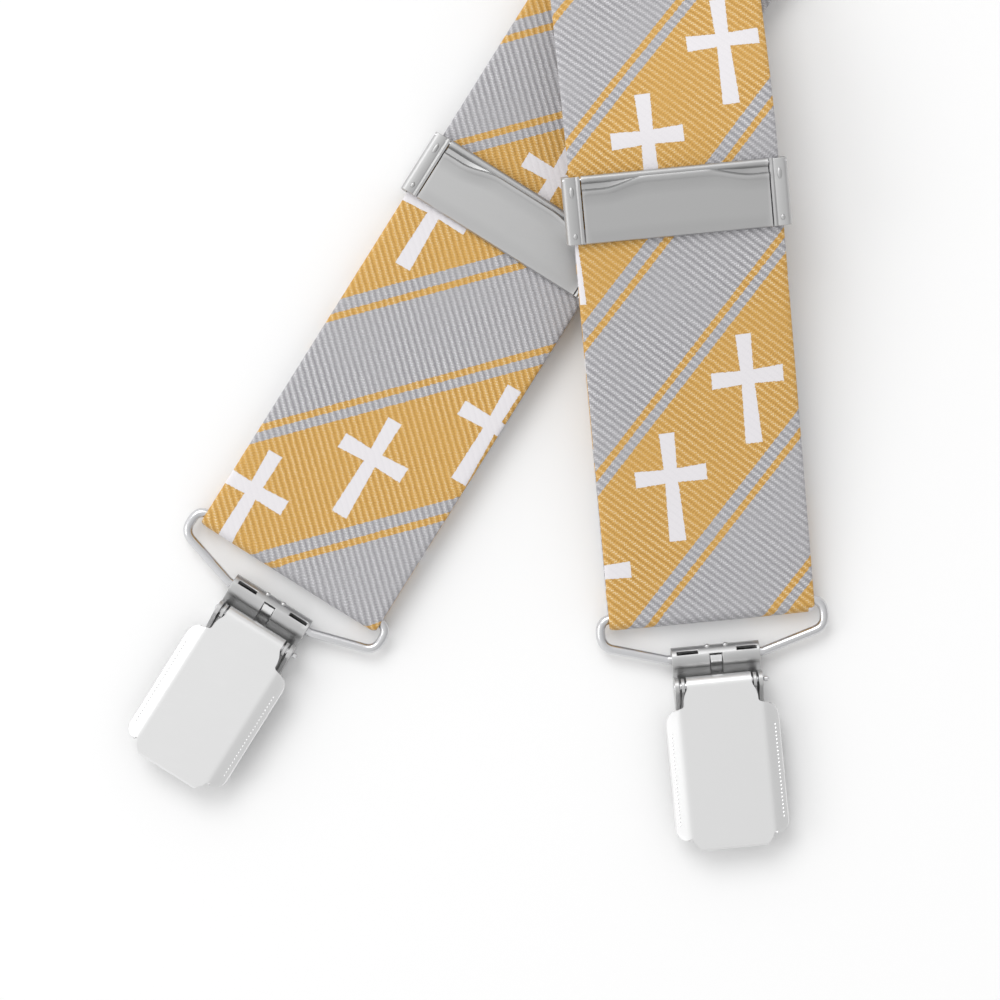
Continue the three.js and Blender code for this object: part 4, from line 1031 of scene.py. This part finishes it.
def bail():
    corners = [Vector((x, y, 0)) for x, y in BAIL_SIDE]
    corners += [Vector((-x, y, 0)) for x, y in reversed(BAIL_SIDE)]
    line = [corners[0], Vector((4, 0, 0))]
    for before, corner, after in zip(corners, corners[1:], corners[2:]):
        into, out = (corner - before).normalized(), (after - corner).normalized()
        radius = 1.0 if abs(corner.x) < 9 else 2.6
        bend = min(math.tan(into.angle(out) / 2) * radius, 2.35)
        line += bow(corner - into * bend, corner, corner + out * bend)
        if corner.x > 9 and corner.y > 7:
            line += [Vector((x, LONG_SIDE, 0)) for x in (12, 6, 0, -6, -12)]
    line += [Vector((-4, 0, 0)), corners[-1]]
    front = Vector((0, 0, 1))

    def place(i, j):
        along = (line[min(j + 1, len(line) - 1)] - line[max(j - 1, 0)]).normalized()
        turn = 2 * math.pi * i / 16
        return line[j] + (along.cross(front) * math.cos(turn) + front * math.sin(turn)) * WIRE_RADIUS

    return skin(16, len(line) - 1, place)


for name, place in CLIPS.items():
    piece(f"bail_{name}_wire", bail(), place, f"bail_{name}", (WIRE,),
          nodes=(f"bail_{name}",), smooth=60)
print("bail 38.2 mm wide between wire centres")

# %% [markdown]
# ## Clip bases
# The base is one strip of sheet: its upper end rolls round the bail into a barrel with two slots and
# two small pips, its neck carries a window with a bright tongue, and its flat floor ends in a lip that
# holds the grip pad. Cutting the openings out of the flat grid before the sheet gets its thickness
# gives them real walls. Two ears stand up beside the neck for the hinge pin.

# %% Clip bases, pads and hinge pins
HINGE = (-4.6, 1.9)  # the pin from the barrel's middle: down the clip, to the front
PIN_RADIUS = 0.6
PIN_BORE = arc(HINGE, 0.66, 0, 345, 23)


def ear_pair(outline, inner, outer):
    """Two ears bored for the pin, from inner to outer millimetres to each side."""
    return [plate(outline, low, high, bore=PIN_BORE) for low, high in ((-outer, -inner), (inner, outer))]


def clip_base():
    """The profile (y, z) runs from the lip along the floor and up the neck into the barrel."""
    lip = [(-30.2, -0.35), (-30.2, -1.2), (-30.05, -1.55), (-29.7, -1.7)]
    floor_run = [(y, -1.7) for y in (-25.0, -20.0, -15.0, -9.2, -7.4)]
    neck = [(-6.6, -1.62), (-6.1, -1.47), (-5.0, -1.03), (-3.6, -0.4), (-2.3, 0.2), (-1.58, 0.6)]
    ring = arc((0, 0), 1.6, 150, 75, 4) + arc((0, 0), 1.6, 69, 49, 2) + arc((0, 0), 1.6, 40, -165, 12)
    profile = lip + floor_run + neck + ring
    window_rows = (profile.index((-5.0, -1.03)), len(lip + floor_run + neck) + 4)
    slot_row = len(lip + floor_run + neck) + 5
    xs = (-7.5, -6.6, -6.3, -3.0, -1.1, 0.0, 1.1, 3.6, 6.3, 7.0, 7.5)
    floor_end = profile.index((-9.2, -1.7))
    cuts = (
        (-1.1, 1.1, *window_rows), (-6.6, -3.0, slot_row, slot_row + 2), (3.6, 7.0, slot_row, slot_row + 2),
        (-7.6, -6.3, 0, floor_end), (6.3, 7.6, 0, floor_end),
    )
    parts = [strip(profile, xs, 0.72, cuts)]
    parts += [flattened_sphere((x, 1.75, 0.75), (0.5, 0.42, 0.55)) for x in (-1.3, 1.8)]
    ear = [(-9.2, -2.1), (-3.0, -2.1)] + arc(HINGE, 1.4, 0, 150, 10) + [(-9.2, -1.3)]
    return joined(*parts, *ear_pair(ear, 6.75, 7.5))


def window_tongue():
    """The bright tongue left standing in the window, rounded at its free end."""
    rows = [(-2.9, -0.42, 0.25), (-2.78, -0.36, 0.6), (-2.5, -0.2, 0.85), (-2.1, 0.0, 0.95)]
    rows += [(-1.6, 0.3, 0.95)] + [(y, z, 0.95) for y, z in arc((0, 0), 1.45, 150, 84, 5)]
    shares = (-1, -0.5, 0, 0.5, 1)

    def place(i, j):
        y, z, half = rows[j]
        return (shares[i] * half, y, z)

    return sheet_metal(skin(4, len(rows) - 1, place, closed=False), 0.25)


def grip_pad():
    """A pad with five square ribs across it."""
    top = [(-29.5, -1.2), (-29.5, -0.6), (-29.3, -0.45)]
    for k in range(5):
        y = -28.7 + k * 1.1
        top += [(y - 0.25, -0.42), (y, -0.72), (y + 0.25, -0.72), (y + 0.5, -0.42)]
    return plate(top + [(-23.6, -0.45), (-23.5, -1.2)], -5.5, 5.5)


for name, place in CLIPS.items():
    piece(f"clip_base_{name}_metal", clip_base(), place, f"clip_{name}", (SHADED,),
          nodes=(f"clip_base_{name}",), bevel=0.08)
    piece(f"window_tongue_{name}_metal", window_tongue(), place, f"clip_{name}", (BRIGHT,))
    piece(f"grip_pad_{name}_ribbed", grip_pad(), place, f"clip_{name}", (PLASTIC,),
          nodes=(f"grip_pad_{name}",), bevel=0.08)
    stub = [(7.75, 0.45), (8.3, 0.45), (8.55, 0.25), (8.6, 0.0)]
    pin = turned_rod(domed(-7.8, 7.7, PIN_RADIUS)[:-1] + stub, 16)
    bmesh.ops.translate(pin, vec=(0, *HINGE), verts=pin.verts)
    piece(f"hinge_pin_{name}_metal", pin, place, f"clip_{name}", (WIRE,),
          nodes=(f"hinge_pin_{name}",))
print("barrel, window, two slots and two pips on each clip")

# %% [markdown]
# ## Jaws and springs
# The jaw is a flat tongue under the lever with ears on the same pin and a row of teeth that bites
# against the pad. An arched strip of spring steel lies between it and the lever. All of it is thin
# metal with straight sides, so outlines are extruded, and the spring is a strip bent to an arch.

# %% Jaws and springs
def clip_jaw():
    teeth = [(-6.0, 0.8)]
    for k in range(6):
        teeth += [(-6.0 + 2 * k, 0.55), (-5.0 + 2 * k, 0.12)]
    parts = [plate([(-29.4, 0.2), (-7.0, 0.2), (-6.6, 0.3), (-6.6, 0.8), (-29.4, 0.8)], -6.0, 6.0),
             plate(teeth + [(6.0, 0.55), (6.0, 0.8)], -29.6, -29.0, along="y")]
    ear = [(-8.6, 0.2), (-5.5, 0.2), (-3.4, 1.4)] + arc(HINGE, 1.3, -18, 180, 12) + [(-8.6, 0.8)]
    return joined(*parts, *ear_pair(ear, 5.85, 6.4))


def jaw_spring():
    profile = [(-8.6 - 14 * t, 1.3 + 1.0 * math.sin(math.pi * t)) for t in [k / 16 for k in range(17)]]
    return strip(profile, (-3, -1, 1, 3), 0.33)


for name, place in CLIPS.items():
    piece(f"clip_jaw_{name}_metal", clip_jaw(), place, f"jaw_{name}", (SHADED,),
          nodes=(f"clip_jaw_{name}",), bevel=0.06)
    piece(f"jaw_spring_{name}_strip", jaw_spring(), place, f"jaw_{name}", (WIRE,),
          nodes=(f"jaw_spring_{name}",))
print("six teeth on each jaw")

# %% [markdown]
# ## Clip levers
# The lever is the broad bright plate that is seen first: a flat panel with two wings that bend down
# along its sides, rounded shoulders, a notched toe with a turned lip, and a curl round the hinge pin.
# Every row of the grid has its own half width, so the outline comes from the rows and the bend of the
# wings from the columns. A row of small raised dots runs down each wing.

# %% Clip levers
LEVER_TOP, PANEL, WING = 3.1, 7.0, 9.4  # height; half widths of the flat panel and over the wings


def lever_plate():
    shoulder = [(-4.9, 5.5), (-5.5, 5.75), (-6.2, 6.1), (-7.0, 6.3), (-7.9, 6.35), (-8.2, 6.6),
                (-8.45, 7.2), (-8.75, 7.9), (-9.1, 8.5), (-9.6, 9.0), (-10.3, 9.3), (-11.2, WING)]
    wings = [(y, WING) for y in every(-13.0, -28.6, 1.8)]
    toe = [(-29.2, 9.35), (-29.7, 9.1), (-30.05, 8.7), (-30.25, 8.1), (-30.3, 7.3), (-30.45, 6.95),
           (-30.8, 6.8), (-31.3, 6.6), (-31.8, 6.2)]
    rows = [(y, z, 5.5) for y, z in arc(HINGE, 1.2, -150, 80, 11)]
    rows += [(y, LEVER_TOP, half) for y, half in shoulder + wings + toe]
    rows += [(-32.15, 3.08, 5.8), (-32.32, 2.95, 5.6), (-32.36, 2.7, 5.5), (-32.36, 1.95, 5.5)]
    inner = [-1, -0.94, -0.7, -0.35, 0, 0.35, 0.7, 0.94, 1]
    columns = [("wing", -1, t) for t in (1.0, 0.93, 0.6, 0.3, 0.12)] + [("panel", s, 0) for s in inner]
    columns += [("wing", 1, t) for t in (0.12, 0.3, 0.6, 0.93, 1.0)]

    def place(i, j):
        y, z, half = rows[j]
        kind, side, share = columns[i]
        panel = min(PANEL, half * 0.96)
        x = side * panel if kind == "panel" else side * (panel + (half - panel) * share)
        over = max(abs(x) - PANEL, 0)
        turned_edge = 0.35 if share == 1.0 and half > 8 else 0
        drop = 0.38 * over * over / (over + 0.25) + turned_edge
        return (x, y, z - drop)

    return sheet_metal(skin(len(columns) - 1, len(rows) - 1, place, closed=False), 0.55)


def raised_dots():
    """A row of 25 down each wing."""
    places = [(side * 8.85, -12.4 - 0.65 * k, 2.78) for side in (-1, 1) for k in range(25)]
    return joined(*[flattened_sphere(centre, (0.2, 0.2, 0.16), 1) for centre in places])


for name, place in CLIPS.items():
    piece(f"clip_lever_{name}_metal", lever_plate(), place, f"lever_{name}", (BRIGHT,),
          nodes=(f"clip_lever_{name}",), smooth=32)
    piece(f"clip_lever_dots_{name}", raised_dots(), place, f"lever_{name}", (BRIGHT,))
print("levers", 2 * WING, "mm across the wings")

# %% [markdown]
# ## Back patch
# Two pieces of grained leather hold the straps where they cross at the back, cut with a waist at each
# side and sewn together all round near the edge. The outline is a ring of curves, extruded and softened
# at its edges, which is enough for stiff leather that lies flat. The stitches follow a smaller copy of
# the outline on both faces, and are modelled because the patch is seen close up.

# %% Leather patch and its stitching
PATCH_HALF = (28.0, 32.0)
PATCH_SIDE = (  # right side in shares of those: every other point is on the edge, the rest pull it
    (0.3, 1.0), (0.45, 0.8), (0.85, 0.6), (1.0, 0.5), (0.88, 0.2), (0.8, 0.0),
    (0.88, -0.2), (1.0, -0.5), (0.85, -0.6), (0.45, -0.8), (0.3, -1.0),
)


def patch_outline(scale=1.0):
    points = [Vector((x * PATCH_HALF[0], y * PATCH_HALF[1])) * scale for x, y in PATCH_SIDE]
    right = []
    for start, pull, end in zip(points[::2], points[1::2], points[2::2]):
        right += bow(start, pull, end)[:-1]
    right.append(points[-1])
    return [(turn * p.x, turn * p.y) for turn in (1, -1) for p in right]


def stitch_ring(height):
    """Stitches round a smaller copy of the outline, each a row of one."""
    corners = [Vector((a, b, height)) for a, b in patch_outline(0.905)]
    corners.append(corners[0])
    lengths = [0.0, *accumulate((b - a).length for a, b in zip(corners, corners[1:]))]
    count = round(lengths[-1] / 2.6)

    def at(share):
        measure = share * lengths[-1]
        k = max(i for i, done in enumerate(lengths[:-1]) if done <= measure + 1e-9)
        side = max(lengths[k + 1] - lengths[k], 1e-9)
        return corners[k].lerp(corners[k + 1], (measure - lengths[k]) / side)

    return joined(*[stitch_row(at(k / count), at((k + 1) / count), 1) for k in range(count)])


for name, low, high, face in (("outer", 0.0, 1.4, -0.02), ("inner", 4.3, 5.5, 5.52)):
    piece(f"patch_{name}_leather", plate(patch_outline(), low, high, along="z"), IN_PLACE, "root",
          (LEATHER,), nodes=(f"patch_{name}",), bevel=0.35, smooth=50)
    piece(f"patch_stitches_{name}", stitch_ring(face), IN_PLACE, "root", (GREY_THREAD,))
print("patch stitched all round on both faces")

# %% [markdown]
# ## Elastic tails
# Below the patch each strap ends in a short elastic that goes round its back bail and is sewn to
# itself. The ribbon made for the straps serves here too, with the elastic on every column.

# %% Elastic tails
TURNED_BACK = 30  # of elastic past the bail's bar, on the underside
for name in "ab":
    bar = spot(f"bail_swing_back_{name}") / MM
    middle, _ = back_line(BACK_RUN, name)
    tail_length = (bar.xy - middle.xy).length
    heading = HAND[name] * BACK_LEAN
    node = f"back_tail_{name}"
    out = run(back_line, name, every(BACK_RUN + 0.4, BACK_RUN + tail_length - 6), node)
    top_angle = leaving(bar, out[-1][0], heading + math.pi, LOOP, 1)
    turn = on_circle(bar, heading, LOOP, 180 - top_angle, 263, 12)
    home = []
    for v in every(6, TURNED_BACK):
        place, _ = back_line(BACK_RUN + tail_length - v, name)
        home.append((place + Vector((0, 0, 1.8 - 1.3 * ease(v / 26))), heading))
    bm, length = ribbon(out + turn + home, 0.0, cloth=[SILK_FACE] * len(CLOTH))
    made = piece(f"back_tail_{name}_elastic", bm, IN_PLACE, "root", (ELASTIC,),
                 nodes=(node,), smooth=50)
    rows = []
    for v in (24.0, 26.5):
        place, _ = back_line(BACK_RUN + tail_length - v, name)
        side = Vector((math.cos(heading), -math.sin(heading), 0)) * STITCH_REACH
        for height in (tops(node)(place) + 0.02, -0.02):
            level = Vector((0, 0, height))
            rows.append(stitch_row(place - side + level, place + side + level, 13))
    piece(f"back_tail_stitches_{name}", joined(*rows), IN_PLACE, "root", (GREY_THREAD,))
    print(f"elastic {name}: {length:.1f} mm with its turned end")

# %% [markdown]
# ## Floor and light
# The straps lie on a plain near-white floor under one large soft light from the upper left, a weaker
# one from the left, and a white surround that is a little brighter on the left, so that the bent wings
# of the clips read against their flat panels.

# %% Floor, lights and world
bm = bmesh.new()
bmesh.ops.create_grid(bm, x_segments=1, y_segments=1, size=6)
bmesh.ops.translate(bm, vec=(0, 0, -0.3 * MM), verts=bm.verts)
floor_mesh = bpy.data.meshes.new("floor")
bm.to_mesh(floor_mesh)
floor = bpy.data.objects.new("floor", floor_mesh)
bpy.context.scene.collection.objects.link(floor)
floor_finish, tree, shader = new_material("near-white floor")
feed_all(tree, shader, {"Base Color": (0.93, 0.93, 0.93, 1), "Roughness": 0.9})
floor_mesh.materials.append(floor_finish)


def soft_light(name, offset, size, power):
    lamp = bpy.data.lights.new(name, "AREA")
    lamp.shape, lamp.size, lamp.energy = "DISK", size, power
    made = bpy.data.objects.new(name, lamp)
    made.location = CROSSING + Vector(offset)
    made.rotation_euler = (CROSSING - made.location).to_track_quat("-Z", "Y").to_euler()
    bpy.context.scene.collection.objects.link(made)


soft_light("large soft light", (-0.8, 0.9, 1.5), 1.2, 11)
soft_light("left light", (-1.5, -0.4, 1.1), 0.9, 4)
world = bpy.data.worlds.new("white surround")
world.use_nodes = True
tree = world.node_tree
toward = put(tree, "SeparateXYZ", {"Vector": put(tree, "TexCoord").outputs["Generated"]}).outputs[0]
strength = calc(tree, "MULTIPLY_ADD", toward, -0.27, 0.82)
feed_all(tree, tree.nodes["Background"], {"Color": (1, 1, 1, 1), "Strength": strength})
bpy.context.scene.world = world
bpy.context.scene.view_settings.view_transform = "Standard"
